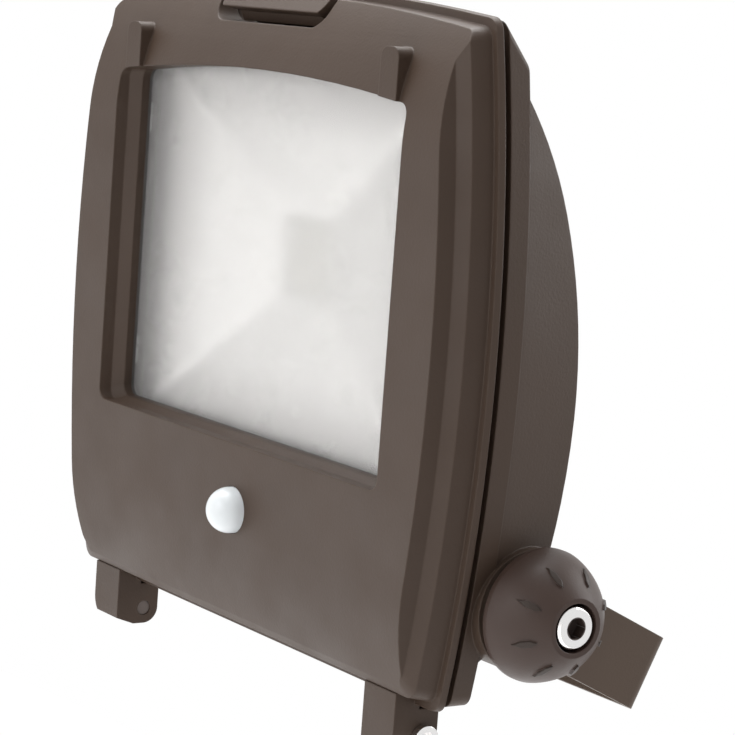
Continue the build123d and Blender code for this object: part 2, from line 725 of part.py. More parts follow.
with BuildPart() as rear_housing:
    with BuildSketch(front(LAND_Y)):
        barrel(GROOVE_INSET)
    extrude(amount=LAND_Y - GROOVE_Y)
    with BuildSketch(front(GROOVE_Y)):
        barrel(BAND_INSET)
    with BuildSketch(front(DRAFT_Y)):
        barrel(BAND_INSET, drop=TOP_SLOPE)
    loft(ruled=True)
    add(back_body.part)
    for s in BOTH:
        with BuildSketch(side(s * (BOSS_FACE - 20))):
            with Locations((PIVOT_Y, PIVOT_Z)):
                Circle(BOSS_R)
        extrude(amount=s * 20)
    add(fin_gaps.part, mode=Mode.SUBTRACT)
    # flat round the cable gland
    with BuildSketch(front(CORE_DEPTH - 1)):
        with Locations((GLAND_X, GLAND_Z)):
            Circle(GLAND_PAD)
    extrude(amount=CORE_DEPTH - 1 - gland_face)
    with BuildSketch(front(gland_face)):
        with Locations((GLAND_X, GLAND_Z)):
            Circle(GLAND_PAD + 2)
    extrude(amount=-20, mode=Mode.SUBTRACT)
    add(cavity.part, mode=Mode.SUBTRACT)
    add(inner_posts.part)
    for s in BOTH:
        # clamp bolt's boss inside the wall, with its threaded hole
        with BuildSketch(side(s * (BOLT_END - 4))):
            with Locations((PIVOT_Y, PIVOT_Z)):
                Circle(BOLT_BOSS_R)
        extrude(amount=s * 18)
        with BuildSketch(side(s * (BOLT_END - 1))):
            with Locations((PIVOT_Y, PIVOT_Z)):
                Circle(BOLT_R + HINGE_FIT)
        extrude(amount=s * 40, mode=Mode.SUBTRACT)
        # tongue of the bottom hinge
        with BuildSketch(side(s * TONGUE_MID)):
            with Locations((HINGE_Y, HINGE_Z)):
                Circle(TONGUE_R)
            with Locations((HINGE_Y + 2.2, (HINGE_Z + RIM_BOTTOM + 5) / 2)):
                Rectangle(2 * TONGUE_R - 4.4, RIM_BOTTOM + 5 - HINGE_Z)
            with Locations((HINGE_Y, HINGE_Z)):
                Circle(HINGE_SCREW_R + HINGE_FIT, mode=Mode.SUBTRACT)
        extrude(amount=TONGUE_WIDTH / 2, both=True)
    # latch notch, its pin holes
    with BuildSketch(front(-5)):
        notch(NOTCH_REAR_FLOOR, NOTCH_HALF, NOTCH_FLARE, NOTCH_CORNER)
    extrude(amount=-(DRAFT_Y + 5 + 8), mode=Mode.SUBTRACT)
    with BuildSketch(side(NOTCH_X)):
        with Locations((LATCH_PIN_Y, LATCH_PIN_Z)):
            Circle(LATCH_PIN_R + LATCH_PIN_FIT)
    extrude(amount=NOTCH_HALF + 8, both=True, mode=Mode.SUBTRACT)
    add(cord_groove.part, mode=Mode.SUBTRACT)
    # bore for the cable gland, and screw holes
    peg((GLAND_X, GLAND_Z), 15, GLAND_R + SMALL_FIT, 30, mode=Mode.SUBTRACT)
    for spot in post_spots:
        peg(spot, MOUTH_Y + SHEET, SMALL_SCREW, SMALL_LENGTH, mode=Mode.SUBTRACT)
    for spot in emitter_spots:
        peg(spot, PEDESTAL_Y, SMALL_SCREW, SMALL_LENGTH, mode=Mode.SUBTRACT)
    for x in foot_xs:
        peg((x, DRIVER_Z), driver_foot_y, SMALL_SCREW, SMALL_LENGTH, mode=Mode.SUBTRACT)
    peg((EARTH_X, EARTH_Z), EARTH_Y, SMALL_SCREW, SMALL_LENGTH - 2, mode=Mode.SUBTRACT)
hand_in(rear_housing, "rear_housing")

with BuildPart() as housing_gasket:
    with BuildSketch(front(CORD_FACE)):
        seal(CORD_OFFSET + CORD_WIDTH - CORD_FIT)
    extrude(amount=CORD_FACE - LAND_Y - CORD_SINK + CORD_FIT)
    with BuildSketch(front(CORD_FACE)):
        seal(CORD_OFFSET + CORD_FIT)
    extrude(amount=-10, mode=Mode.SUBTRACT)
hand_in(housing_gasket, "housing_gasket")

# ---- lamp: emitter, phosphor, reflector ----
substrate_y = PEDESTAL_Y - EMITTER_THICK

with BuildPart() as led_substrate:
    with BuildSketch(front(PEDESTAL_Y)):
        with Locations((0, LAMP_Z)):
            RectangleRounded(2 * EMITTER_HALF, 2 * EMITTER_HALF, 1.5)
        with Locations(*emitter_spots):
            Circle(SMALL_SCREW + SMALL_FIT, mode=Mode.SUBTRACT)
    extrude(amount=EMITTER_THICK)
hand_in(led_substrate, "led_substrate")

with BuildPart() as led_phosphor:
    peg((0, LAMP_Z), substrate_y, PHOSPHOR_R, -PHOSPHOR_THICK)
hand_in(led_phosphor, "led_phosphor")

with BuildPart() as led_screws:
    for spot in emitter_spots:
        screw(spot, substrate_y, 1, head_h=LOW_HEAD_H)
hand_in(led_screws, "led_screws")

mouth_mid = (MOUTH_LOW + MOUTH_HIGH) / 2
mouth_tall = MOUTH_HIGH - MOUTH_LOW

with BuildPart() as reflector:
    for y, mode in ((SHEET, Mode.ADD), (0, Mode.SUBTRACT)):
        with BuildSketch(front(MOUTH_Y + y)):
            with Locations((0, mouth_mid)):
                Rectangle(2 * MOUTH_HALF, mouth_tall)
        with BuildSketch(front(THROAT_Y + y)):
            with Locations((0, LAMP_Z)):
                Rectangle(2 * THROAT_HALF, 2 * THROAT_HALF)
        loft(ruled=True, mode=mode)
        if mode == Mode.ADD:
            with BuildSketch(front(MOUTH_Y + SHEET)):
                with Locations((0, mouth_mid)):
                    RectangleRounded(2 * (MOUTH_HALF + FLANGE), mouth_tall + 2 * FLANGE, 3)
            extrude(amount=SHEET)
    with BuildSketch(front(THROAT_Y - 1)):
        with Locations((0, LAMP_Z)):
            Rectangle(2 * THROAT_HALF, 2 * THROAT_HALF)
    extrude(amount=-5, mode=Mode.SUBTRACT)
    for spot in post_spots:
        peg(spot, 0, SMALL_SCREW + SMALL_FIT, 10, mode=Mode.SUBTRACT)
hand_in(reflector, "reflector")

with BuildPart() as reflector_screws:
    for spot in post_spots:
        screw(spot, MOUTH_Y, 1, head_h=LOW_HEAD_H)
hand_in(reflector_screws, "reflector_screws")

# ---- driver, terminals, earth screw ----
with BuildPart() as led_driver:
    with BuildSketch(front(driver_foot_y)) as case:
        with Locations((DRIVER_X, DRIVER_Z)):
            RectangleRounded(DRIVER_L, DRIVER_H, 2)
    extrude(amount=DRIVER_D)
    with BuildSketch(front(driver_foot_y)):
        with Locations((DRIVER_X, DRIVER_Z)):
            SlotOverall(DRIVER_L + 2 * DRIVER_FOOT, DRIVER_FOOT)
        with Locations(*[(x, DRIVER_Z) for x in foot_xs]):
            Circle(SMALL_SCREW + SMALL_FIT, mode=Mode.SUBTRACT)
    extrude(amount=DRIVER_TAB)
hand_in(led_driver, "led_driver")

with BuildPart() as driver_screws:
    for x in foot_xs:
        screw((x, DRIVER_Z), driver_foot_y - DRIVER_TAB, 1)
hand_in(driver_screws, "driver_screws")

with BuildPart() as terminal_block:
    with BuildSketch(front(driver_foot_y)):
        with Locations((TERMINAL_X, DRIVER_Z)):
            Rectangle(TERMINAL_L, TERMINAL_H)
    extrude(amount=TERMINAL_D)
    for i in range(TERMINAL_WAYS):
        x = TERMINAL_X + (i - (TERMINAL_WAYS - 1) / 2) * TERMINAL_L / TERMINAL_WAYS
        peg((x, DRIVER_Z), driver_foot_y - TERMINAL_D, 2.2, 5, mode=Mode.SUBTRACT)
        with BuildSketch(Plane.XY.offset(DRIVER_Z + TERMINAL_H / 2)):
            with Locations((x, driver_foot_y - 4)):
                Circle(1.7)
        extrude(amount=-TERMINAL_H, mode=Mode.SUBTRACT)
hand_in(terminal_block, "terminal_block")

with BuildPart() as earth_screw:
    screw((EARTH_X, EARTH_Z), EARTH_Y, 1, length=SMALL_LENGTH - 3)
hand_in(earth_screw, "earth_screw")

# ---- cable gland in the back ----
gland_spot = (GLAND_X, GLAND_Z)
cap_y = gland_face + GLAND_FLANGE + 0.5
cap_end = gland_face + GLAND_REACH

with BuildPart() as gland_body:
    peg(gland_spot, gland_face, GLAND_R, -(HOUSING_WALL + GLAND_NUT + 3))
    peg(gland_spot, gland_face, GLAND_HEX / 2, GLAND_FLANGE, sides=6)
    peg(gland_spot, gland_face, GLAND_NECK, GLAND_FLANGE + 5)
    peg(gland_spot, 0, GLAND_BORE + 0.6, 60, mode=Mode.SUBTRACT)
hand_in(gland_body, "gland_body")

with BuildPart() as gland_locknut:
    peg(gland_spot, CORE_DEPTH - HOUSING_WALL, GLAND_HEX / 2, -GLAND_NUT, sides=6)
    peg(gland_spot, 0, GLAND_R + SMALL_FIT, 60, mode=Mode.SUBTRACT)
hand_in(gland_locknut, "gland_locknut")

with BuildPart() as gland_cap:
    peg(gland_spot, cap_y, GLAND_HEX / 2 - 0.5, 5.5, sides=6)
    with BuildSketch(front(cap_y + 5.5)):
        with Locations(gland_spot):
            Circle(GLAND_HEX / 2 - 0.5)
    with BuildSketch(front(cap_end)):
        with Locations(gland_spot):
            Circle(GLAND_HEX / 2 - 3)
    loft()
    peg(gland_spot, cap_y, GLAND_NECK + SMALL_FIT, gland_face + GLAND_FLANGE + 5.2 - cap_y, mode=Mode.SUBTRACT)
    peg(gland_spot, cap_y, GLAND_BORE + 1.6, 30, mode=Mode.SUBTRACT)
hand_in(gland_cap, "gland_cap")

with BuildPart() as gland_seal:
    peg(gland_spot, gland_face + GLAND_FLANGE + 5.1, GLAND_BORE + 1.5, cap_end - gland_face - GLAND_FLANGE - 4.8)
    peg(gland_spot, 0, GLAND_BORE, 90, mode=Mode.SUBTRACT)
hand_in(gland_seal, "gland_seal")

# ---- hinge screws ----
with BuildPart() as hinge_screws:
    for s in BOTH:
        with BuildSketch(side(s * (EAR_IN + 0.4))):
            with Locations((HINGE_Y, HINGE_Z)):
                Circle(HINGE_SCREW_R)
        extrude(amount=s * (EAR_OUT - EAR_IN - 0.4))
        with BuildSketch(side(s * (EAR_OUT + 0.1))):
            with Locations((HINGE_Y, HINGE_Z)):
                Circle(HINGE_HEAD_R)
        extrude(amount=s * HINGE_HEAD)
        with BuildSketch(side(s * EAR_OUT)):
            with Locations((HINGE_Y, HINGE_Z)):
                Circle(HINGE_SCREW_R)
        extrude(amount=s * 0.2)
        with BuildSketch(side(s * (EAR_OUT + 0.1 + HINGE_HEAD))):
            with Locations((HINGE_Y, HINGE_Z)):
                RegularPolygon(HINGE_DRIVE / 2, 6, major_radius=False)
        extrude(amount=-s * HINGE_HEAD * 0.7, mode=Mode.SUBTRACT)
hand_in(hinge_screws, "hinge_screws")

# ---- toggle latch in the top notch ----
with BuildPart() as latch:
    reach = hypot(LATCH_BACK[0] - LATCH_PIN_Y, LATCH_BACK[1] - LATCH_PIN_Z)
    turn = atan2(LATCH_BACK[1] - LATCH_PIN_Z, LATCH_BACK[0] - LATCH_PIN_Y)
    tangent = turn - atan2(sqrt(reach**2 - LATCH_BARREL**2), LATCH_BARREL)
    touch = (LATCH_PIN_Y + LATCH_BARREL * cos(tangent), LATCH_PIN_Z + LATCH_BARREL * sin(tangent))
    with BuildSketch(Plane.YZ):
        with BuildLine():
            Polyline(LATCH_TIP, LATCH_CREST, LATCH_BACK, touch, (LATCH_PIN_Y, LATCH_PIN_Z - LATCH_BARREL),
                     (LATCH_BEAD, NOTCH_FLOOR + LATCH_FLOAT), (-LATCH_BEAD, NOTCH_FLOOR + LATCH_FLOAT),
                     (-LATCH_BEAD - 1.5, NOTCH_FLOOR + LATCH_GAP - 1.2), (LATCH_TIP[0] + 1.2, LATCH_TIP[1] - 0.4),
                     close=True)
        make_face()
        with Locations((LATCH_PIN_Y, LATCH_PIN_Z)):
            Circle(LATCH_BARREL)
            Circle(LATCH_PIN_R + LATCH_PIN_FIT, mode=Mode.SUBTRACT)
    extrude(amount=2 * NOTCH_HALF, both=True)
    with BuildSketch(front(20)):
        notch(LATCH_TIP[1] - 1, LATCH_HALF, NOTCH_FLARE, LATCH_CORNER)
        with Locations((NOTCH_X, LATCH_PIN_Z)):
            Rectangle(2 * (LATCH_HALF - LATCH_CORNER), 2 * LATCH_BARREL + 2)
    extrude(amount=40, mode=Mode.INTERSECT)
hand_in(latch, "latch")

with BuildPart() as latch_pin:
    with BuildSketch(side(NOTCH_X)):
        with Locations((LATCH_PIN_Y, LATCH_PIN_Z)):
            Circle(LATCH_PIN_R)
    extrude(amount=NOTCH_HALF + 7, both=True)
hand_in(latch_pin, "latch_pin")

# ---- clamp: washers, knobs with raised grip marks, bolts ----
pivot_axis = Axis((0, PIVOT_Y, PIVOT_Z), (1, 0, 0))
arm_in = BOSS_FACE + JOINT_GAP + WASHER_THICK
arm_out = arm_in + STRIP
knob_base = arm_out + KNOB_GAP
recess_floor = knob_base + KNOB_HEIGHT - RECESS_DEPTH

with BuildPart() as clamp_washers:
    for s in BOTH:
        with BuildSketch(side(s * (BOSS_FACE + JOINT_GAP))):
            with Locations((PIVOT_Y, PIVOT_Z)):
                Circle(WASHER_R)
                Circle(BOLT_R + BORE_GAP, mode=Mode.SUBTRACT)
        extrude(amount=s * WASHER_THICK)
hand_in(clamp_washers, "clamp_washers")


def knob_dome(grow):
    """Half section of the domed knob, axial along local x from the knob's base, swollen by grow."""
    with BuildLine() as path:
        edge = Line((0, 0), (0, KNOB_R))
        rim = Line(edge @ 1, (KNOB_EDGE, KNOB_R + grow))
        dome = ThreePointArc(rim @ 1, (KNOB_BELLY_X + grow / 2, KNOB_BELLY_R + grow * 0.8),
                             (KNOB_HEIGHT, KNOB_TIP_R + grow / 2))
        Polyline(dome @ 1, (KNOB_HEIGHT, 0), edge @ 0)
    make_face(path.edges())


for s, suffix in ((-1, "left"), (1, "right")):
    knob_plane = Plane(origin=(s * knob_base, PIVOT_Y, PIVOT_Z), x_dir=(s, 0, 0), z_dir=(0, -s, 0))
    with BuildPart() as grips:
        with BuildSketch(knob_plane):
            knob_dome(GRIP_HEIGHT)
        revolve(axis=pivot_axis)
        with BuildSketch(side(s * (knob_base + KNOB_EDGE))) as leaves:
            with Locations((PIVOT_Y, PIVOT_Z)):
                with PolarLocations(GRIP_RADIUS, GRIP_COUNT, start_angle=GRIP_START):
                    Polygon(*[(u * GRIP_LENGTH / 2, v * GRIP_WIDTH / 2) for u, v in GRIP_OUTLINE])
        extrude(amount=s * KNOB_HEIGHT, mode=Mode.INTERSECT)
    with BuildPart() as knob:
        with BuildSketch(knob_plane):
            knob_dome(0)
        revolve(axis=pivot_axis)
        add(grips.part)
        with BuildSketch(side(s * recess_floor)):
            with Locations((PIVOT_Y, PIVOT_Z)):
                Circle(RECESS_R)
        extrude(amount=s * 30, mode=Mode.SUBTRACT)
        with BuildSketch(side(s * (knob_base - 1))):
            with Locations((PIVOT_Y, PIVOT_Z)):
                Circle(BOLT_R + BORE_GAP)
        extrude(amount=s * 30, mode=Mode.SUBTRACT)
    hand_in(knob, f"knob_{suffix}")
    with BuildPart() as bolt:
        with BuildSketch(side(s * BOLT_END)):
            with Locations((PIVOT_Y, PIVOT_Z)):
                Circle(BOLT_R)
        extrude(amount=s * (recess_floor - BOLT_END))
        with BuildSketch(side(s * recess_floor)):
            with Locations((PIVOT_Y, PIVOT_Z)):
                Circle(BOLT_HEAD_R)
        extrude(amount=s * BOLT_HEAD)
        chamfer(bolt.edges().filter_by(GeomType.CIRCLE).sort_by(Axis.X)[::s][-1], BOLT_CHAMFER)
        with BuildSketch(side(s * (recess_floor + BOLT_HEAD))):
            with Locations((PIVOT_Y, PIVOT_Z)):
                RegularPolygon(BOLT_SOCKET / 2, 6, major_radius=False)
        extrude(amount=-s * BOLT_SOCKET_DEPTH, mode=Mode.SUBTRACT)
    hand_in(bolt, f"bolt_{suffix}")

# ---- U bracket, drawn on the wall ----
with BuildPart() as bracket:
    with BuildSketch(Plane.XY.offset(-STRIP_WIDTH / 2)) as strip:
        reach = WALL_REACH + STRIP_WIDTH / 2
        with Locations((0, -reach / 2)):
            Rectangle(2 * arm_out, reach)
        fillet(strip.vertices().group_by(Axis.Y)[-1], BEND_R + STRIP)
    extrude(amount=STRIP_WIDTH)
    with BuildSketch(Plane.XY.offset(-STRIP_WIDTH / 2)) as gap:
        with Locations((0, -reach / 2 - STRIP)):
            Rectangle(2 * arm_in, reach)
        fillet(gap.vertices().group_by(Axis.Y)[-1], BEND_R)
    extrude(amount=STRIP_WIDTH, mode=Mode.SUBTRACT)
    with BuildSketch(Plane.YZ):
        with Locations((-WALL_REACH, 0)):
            Circle(STRIP_WIDTH / 2)
        with Locations((-WALL_REACH / 2, 0)):
            Rectangle(WALL_REACH, STRIP_WIDTH)
        with Locations((-WALL_REACH, 0)):
            Circle(BOLT_R + BORE_GAP, mode=Mode.SUBTRACT)
    extrude(amount=arm_out + 1, both=True, mode=Mode.INTERSECT)
    with BuildSketch(front(-STRIP - 1)):
        Circle(CENTRE_HOLE / 2)
        with Locations((-SLOT_SPACING / 2, 0), (SLOT_SPACING / 2, 0)):
            SlotOverall(SLOT_LENGTH, SLOT_WIDTH)
    extrude(amount=-STRIP - 2, mode=Mode.SUBTRACT)
hand_in(bracket, "bracket", turned=False)
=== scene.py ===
"""Looks of a motion sensor security light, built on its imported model.

Finishes for the castings, window, lamp, sensor, supply and clamps, the small parts that the solids leave
out, and a studio. Every CAD piece keeps its mesh and takes a finish only.
"""

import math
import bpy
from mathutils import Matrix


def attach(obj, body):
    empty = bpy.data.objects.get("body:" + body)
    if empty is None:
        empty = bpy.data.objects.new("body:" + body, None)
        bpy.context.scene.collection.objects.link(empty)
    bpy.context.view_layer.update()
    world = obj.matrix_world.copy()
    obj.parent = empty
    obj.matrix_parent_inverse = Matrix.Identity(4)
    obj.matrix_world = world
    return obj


bl_info = {
    "name": "Motion sensor security light",
    "version": (1, 1, 0),
    "blender": (4, 5, 0),
    "location": "View3D > Sidebar > Security Light",
    "description": "Finishes, small parts and studio of a floodlight with a movement sensor",
    "category": "Object",
}

import bmesh
import bpy
from mathutils import Matrix, Vector

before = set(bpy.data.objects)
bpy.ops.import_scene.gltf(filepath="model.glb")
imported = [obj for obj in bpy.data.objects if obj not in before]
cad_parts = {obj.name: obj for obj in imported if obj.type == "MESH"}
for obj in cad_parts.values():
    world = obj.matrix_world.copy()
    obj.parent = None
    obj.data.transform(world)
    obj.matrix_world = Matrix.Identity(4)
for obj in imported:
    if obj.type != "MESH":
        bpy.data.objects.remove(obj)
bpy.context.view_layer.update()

MM = 0.001
HEAD_TILT = math.radians(25.8)
PIVOT = Vector((0.0, 23.0, -73.5))           # clamp bolts, in the head's own frame, in millimetres
WALL_REACH = 52.0                            # clamp bolts to the wall
HEAD_TO_WALL = (Matrix.Translation(Vector((0.0, -WALL_REACH, 0.0))) @ Matrix.Rotation(HEAD_TILT, 4, "X")
                @ Matrix.Translation(-PIVOT))
FORWARD = Matrix(((1, 0, 0), (0, 0, -1), (0, 1, 0))).to_4x4()      # local Z out of the face
BACKWARD = Matrix(((1, 0, 0), (0, 0, 1), (0, -1, 0))).to_4x4()     # local Z towards the wall

HEAD_MIDDLE_Y = 10.0
LAMP_Z = 19.0                                # emitter's height on the head
EMITTER_Y = 13.9                             # front of its substrate
PHOSPHOR_Y = 13.2                            # front of its phosphor
PHOSPHOR_R = 11.0
MOUTH_HALF, MOUTH_TALL, THROAT_HALF = 80.0, 117.0, 13.0      # reflector, seen from the front
PAINTED_SHADE_FROM = 0.5                              # painted shade sets in at this share of the way from its throat to its mouth
FOLD_HIGHLIGHT_FADE, FOLD_HIGHLIGHT_FULL = 0.09, 0.02            # half width of a fold's painted highlight, as such a share
DAM = ((0.1, 0.0), (0.1, 0.6), (0.4, 0.9), (0.9, 0.8), (1.2, 0.4), (1.2, 0.0), (0.1, 0.0))    # outwards, up
CELL, CELL_ROUND, CELL_PITCH = (0.9, 0.55, 0.12), 0.03, 1.5
BOARD_REAR = -4.4                            # rear face of the sensor board
BOARD_X, BOARD_Z = 6.5, -62.5
CHIP, CHIP_ROUND = (2.0, 1.2, 0.6), 0.1      # resistors, in rows above the dials
CHIP_COLUMNS, CHIP_ROWS, CHIP_PITCH, CHIP_RISE = 9, 2, (4.2, 3.0), 5.0
DIAL_PITCH, DIAL_DROP = 12.0, 7.0
MARK, MARK_ROUND, MARKS, MARK_RING = (0.9, 0.25, 0.06), 0.02, 11, 4.4
DRIVER_X, DRIVER_Z, DRIVER_FRONT = -26.0, -63.0, 1.6
DRIVER_L, DRIVER_H = 108.0, 27.0
DRIVER_RIBS, DRIVER_MARGIN = 17, 6.0         # ribs; free at the case's ends, and half of it along its edges
RIB_WIDTH, RIB_HEIGHT, RIB_ROUND = 1.4, 0.7, 0.2
TERMINAL_X, TERMINAL_FRONT, TERMINAL_PITCH = 50.0, 3.6, 8.0
TERMINAL_WAYS, TERMINAL_SUNK = 3, 1.6
TERMINAL_HEAD = (1.9, 1.0, 0.6)              # screw's radius, height and slot
HALF_DISC_SHARE, HALF_DISC_STEPS = 0.97, 12  # half discs on a slotted head: share of its radius, steps
GLAND_X, GLAND_Z = 76.0, -59.5
GLAND_CAP = (9.5, 7.0, 37.5, 42.5)           # radii and depths of the cap's cone
GLAND_RIBS, GLAND_RIB, GLAND_RIB_ROUND = 24, 0.9, 0.25
GLAND_RIB_SHARE, GLAND_RIB_START, GLAND_RIB_SUNK = 0.8, 0.4, 0.2
BOLT_SOCKET_R = 3.5                          # corner radius of the bolts' hex sockets
KNOB_BASE = 119.9                            # |X| of the knobs' inner faces
KNOB_DOME = ((1.6, 20.5), (11.6, 15.9), (18.2, 9.0))      # points (height, radius) of the knobs' dome
GRIP_RISE = 0.15                             # beyond this above the dome, the surface is a grip mark, which takes painted shade
PIN_TIP_X = 80.0                             # the hinge screws' tips end inside this |X|
MASK_EDGE = 0.1                              # width over which a mask on a piece sets in

NOISE_LOW, NOISE_HIGH = 0.3, 0.7             # most of a noise texture's values lie between these
GLOSS_PATCHES = 2.3                          # how much finer a finish's gloss varies than its colour
LEAST_ROUGH = 0.02
EDGE_FLAT, EDGE_SHARP = 0.995, 0.85          # cosine between rounded and true normal, no painted edge highlight to full painted edge highlight
EDGE_HIGHLIGHT_TINT = 2.6
RELIEF = 0.2                                 # height of a bump, as a share of its grain's size
# strength of the sensor lens's painted glow
LENS_GLOW = 0.13

FLOOR_Z, FLOOR_HALF, FLOOR_GLOW = -0.35, 6.0, 0.72       # metres, metres, emission
# Softboxes: name, place in metres from the head's middle along the camera's right, up and back, size, watts.
SOFTBOXES = (("top softbox", (-0.1, 0.93, -0.18), (1.0, 0.9), 18.0),
             ("front softbox", (-0.9, 0.2, 0.9), (1.0, 1.0), 7.5),
             ("side softbox", (1.0, 0.35, -0.15), (0.6, 0.9), 7.0))


def srgb(code, alpha=1.0):
    """A colour written as sRGB hex, as the linear colour that Blender's sockets take."""
    parts = [int(code[i:i + 2], 16) / 255 for i in (1, 3, 5)]
    return tuple(c / 12.92 if c <= 0.04045 else ((c + 0.055) / 1.055) ** 2.4 for c in parts) + (alpha,)


def shade(colour, factor):
    """The same colour made lighter or darker."""
    return tuple(min(1.0, c * factor) for c in colour[:3]) + (1.0,)


def on_head(x, y, z):
    """A point given in millimetres in the head's own frame, in metres in the wall frame."""
    return (HEAD_TO_WALL @ Vector((x, y, z))) * MM


def arc_through(a, b, c):
    """Centre and radius of the circle through three points of a plane."""
    (ax, ay), (bx, by), (cx, cy) = a, b, c
    twice = 2 * (ax * (by - cy) + bx * (cy - ay) + cx * (ay - by))
    aa, bb, cc = ax * ax + ay * ay, bx * bx + by * by, cx * cx + cy * cy
    x = (aa * (by - cy) + bb * (cy - ay) + cc * (ay - by)) / twice
    y = (aa * (cx - bx) + bb * (ax - cx) + cc * (bx - ax)) / twice
    return x, y, math.hypot(ax - x, ay - y)


def seat(x, y, z, facing):
    """The matrix that puts a piece made at the origin on a spot of the head."""
    return Matrix.Translation(on_head(x, y, z)) @ Matrix.Rotation(HEAD_TILT, 4, "X") @ facing


# ---- settings ----
class CastingSettings(bpy.types.PropertyGroup):
    """Colour and grain of the powder-coated castings."""
    coat: bpy.props.FloatVectorProperty(name="Coat", description="Colour of the powder coat", subtype="COLOR",
                                        size=4, min=0.0, max=1.0, default=srgb("#43362D"))
    strip: bpy.props.FloatVectorProperty(name="Strip coat", description="Colour of the coated bracket",
                                         subtype="COLOR", size=4, min=0.0, max=1.0, default=srgb("#54473D"))
    grain: bpy.props.FloatProperty(name="Grain", description="Size of the coat's fine texture",
                                   subtype="DISTANCE", default=0.0009, min=0.0001, max=0.01)
    edge: bpy.props.FloatProperty(name="Edge round", description="Round that the coat leaves on sharp edges",
                                  subtype="DISTANCE", default=0.0007, min=0.0, max=0.003)


class WindowSettings(bpy.types.PropertyGroup):
    """Frosting of the glass and finish of the reflector."""
    frost: bpy.props.FloatProperty(name="Frost", description="Roughness of the frosted glass", default=0.25,
                                   min=0.0, max=1.0)
    milk: bpy.props.FloatProperty(name="Milk", description="Share of light that the frosting scatters back",
                                  default=0.18, min=0.0, max=1.0)
    stipple: bpy.props.FloatProperty(name="Stipple", description="Spacing of the dots pressed in the glass",
                                     subtype="DISTANCE", default=0.0011, min=0.0003, max=0.01)


class LampSettings(bpy.types.PropertyGroup):
    """Emitter under the window."""
    phosphor: bpy.props.FloatVectorProperty(name="Phosphor", description="Colour of the unlit emitter",
                                            subtype="COLOR", size=4, min=0.0, max=1.0,
                                            default=srgb("#EAE9E4"))
    cells: bpy.props.IntProperty(name="Cells", description="Light cells along each side of the emitter",
                                 default=9, min=2, max=20)


class StudioSettings(bpy.types.PropertyGroup):
    """Camera and lamps."""
    azimuth: bpy.props.FloatProperty(name="Azimuth", description="Camera direction round the light",
                                     subtype="ANGLE", default=math.radians(55.611))
    elevation: bpy.props.FloatProperty(name="Elevation", description="Camera height as an angle",
                                       subtype="ANGLE", default=math.radians(-6.944))
    roll: bpy.props.FloatProperty(name="Roll", description="Turn of the camera about its own axis",
                                  subtype="ANGLE", default=math.radians(25.477))
    place: bpy.props.FloatVectorProperty(name="Camera place", description="Where the camera stands",
                                         subtype="TRANSLATION", default=(0.7368, -0.568385, -0.052589))
    lens: bpy.props.FloatProperty(name="Lens", description="Focal length in millimetres on a 36 mm sensor",
                                  default=131.6, min=10.0, max=400.0)
    fill: bpy.props.FloatProperty(name="Fill", description="Strength of the light from all round",
                                  default=0.32, min=0.0, max=2.0)


# ---- materials ----
def add_node(tree, kind, inputs=None, **settings):
    """Add one node with its settings. An input given as a socket is linked; anything else is its value."""
    node = tree.nodes.new(kind)
    for name, value in settings.items():
        setattr(node, name, value)
    for socket, value in (inputs or {}).items():
        if isinstance(value, bpy.types.NodeSocket):
            tree.links.new(value, node.inputs[socket])
        else:
            node.inputs[socket].default_value = value
    return node


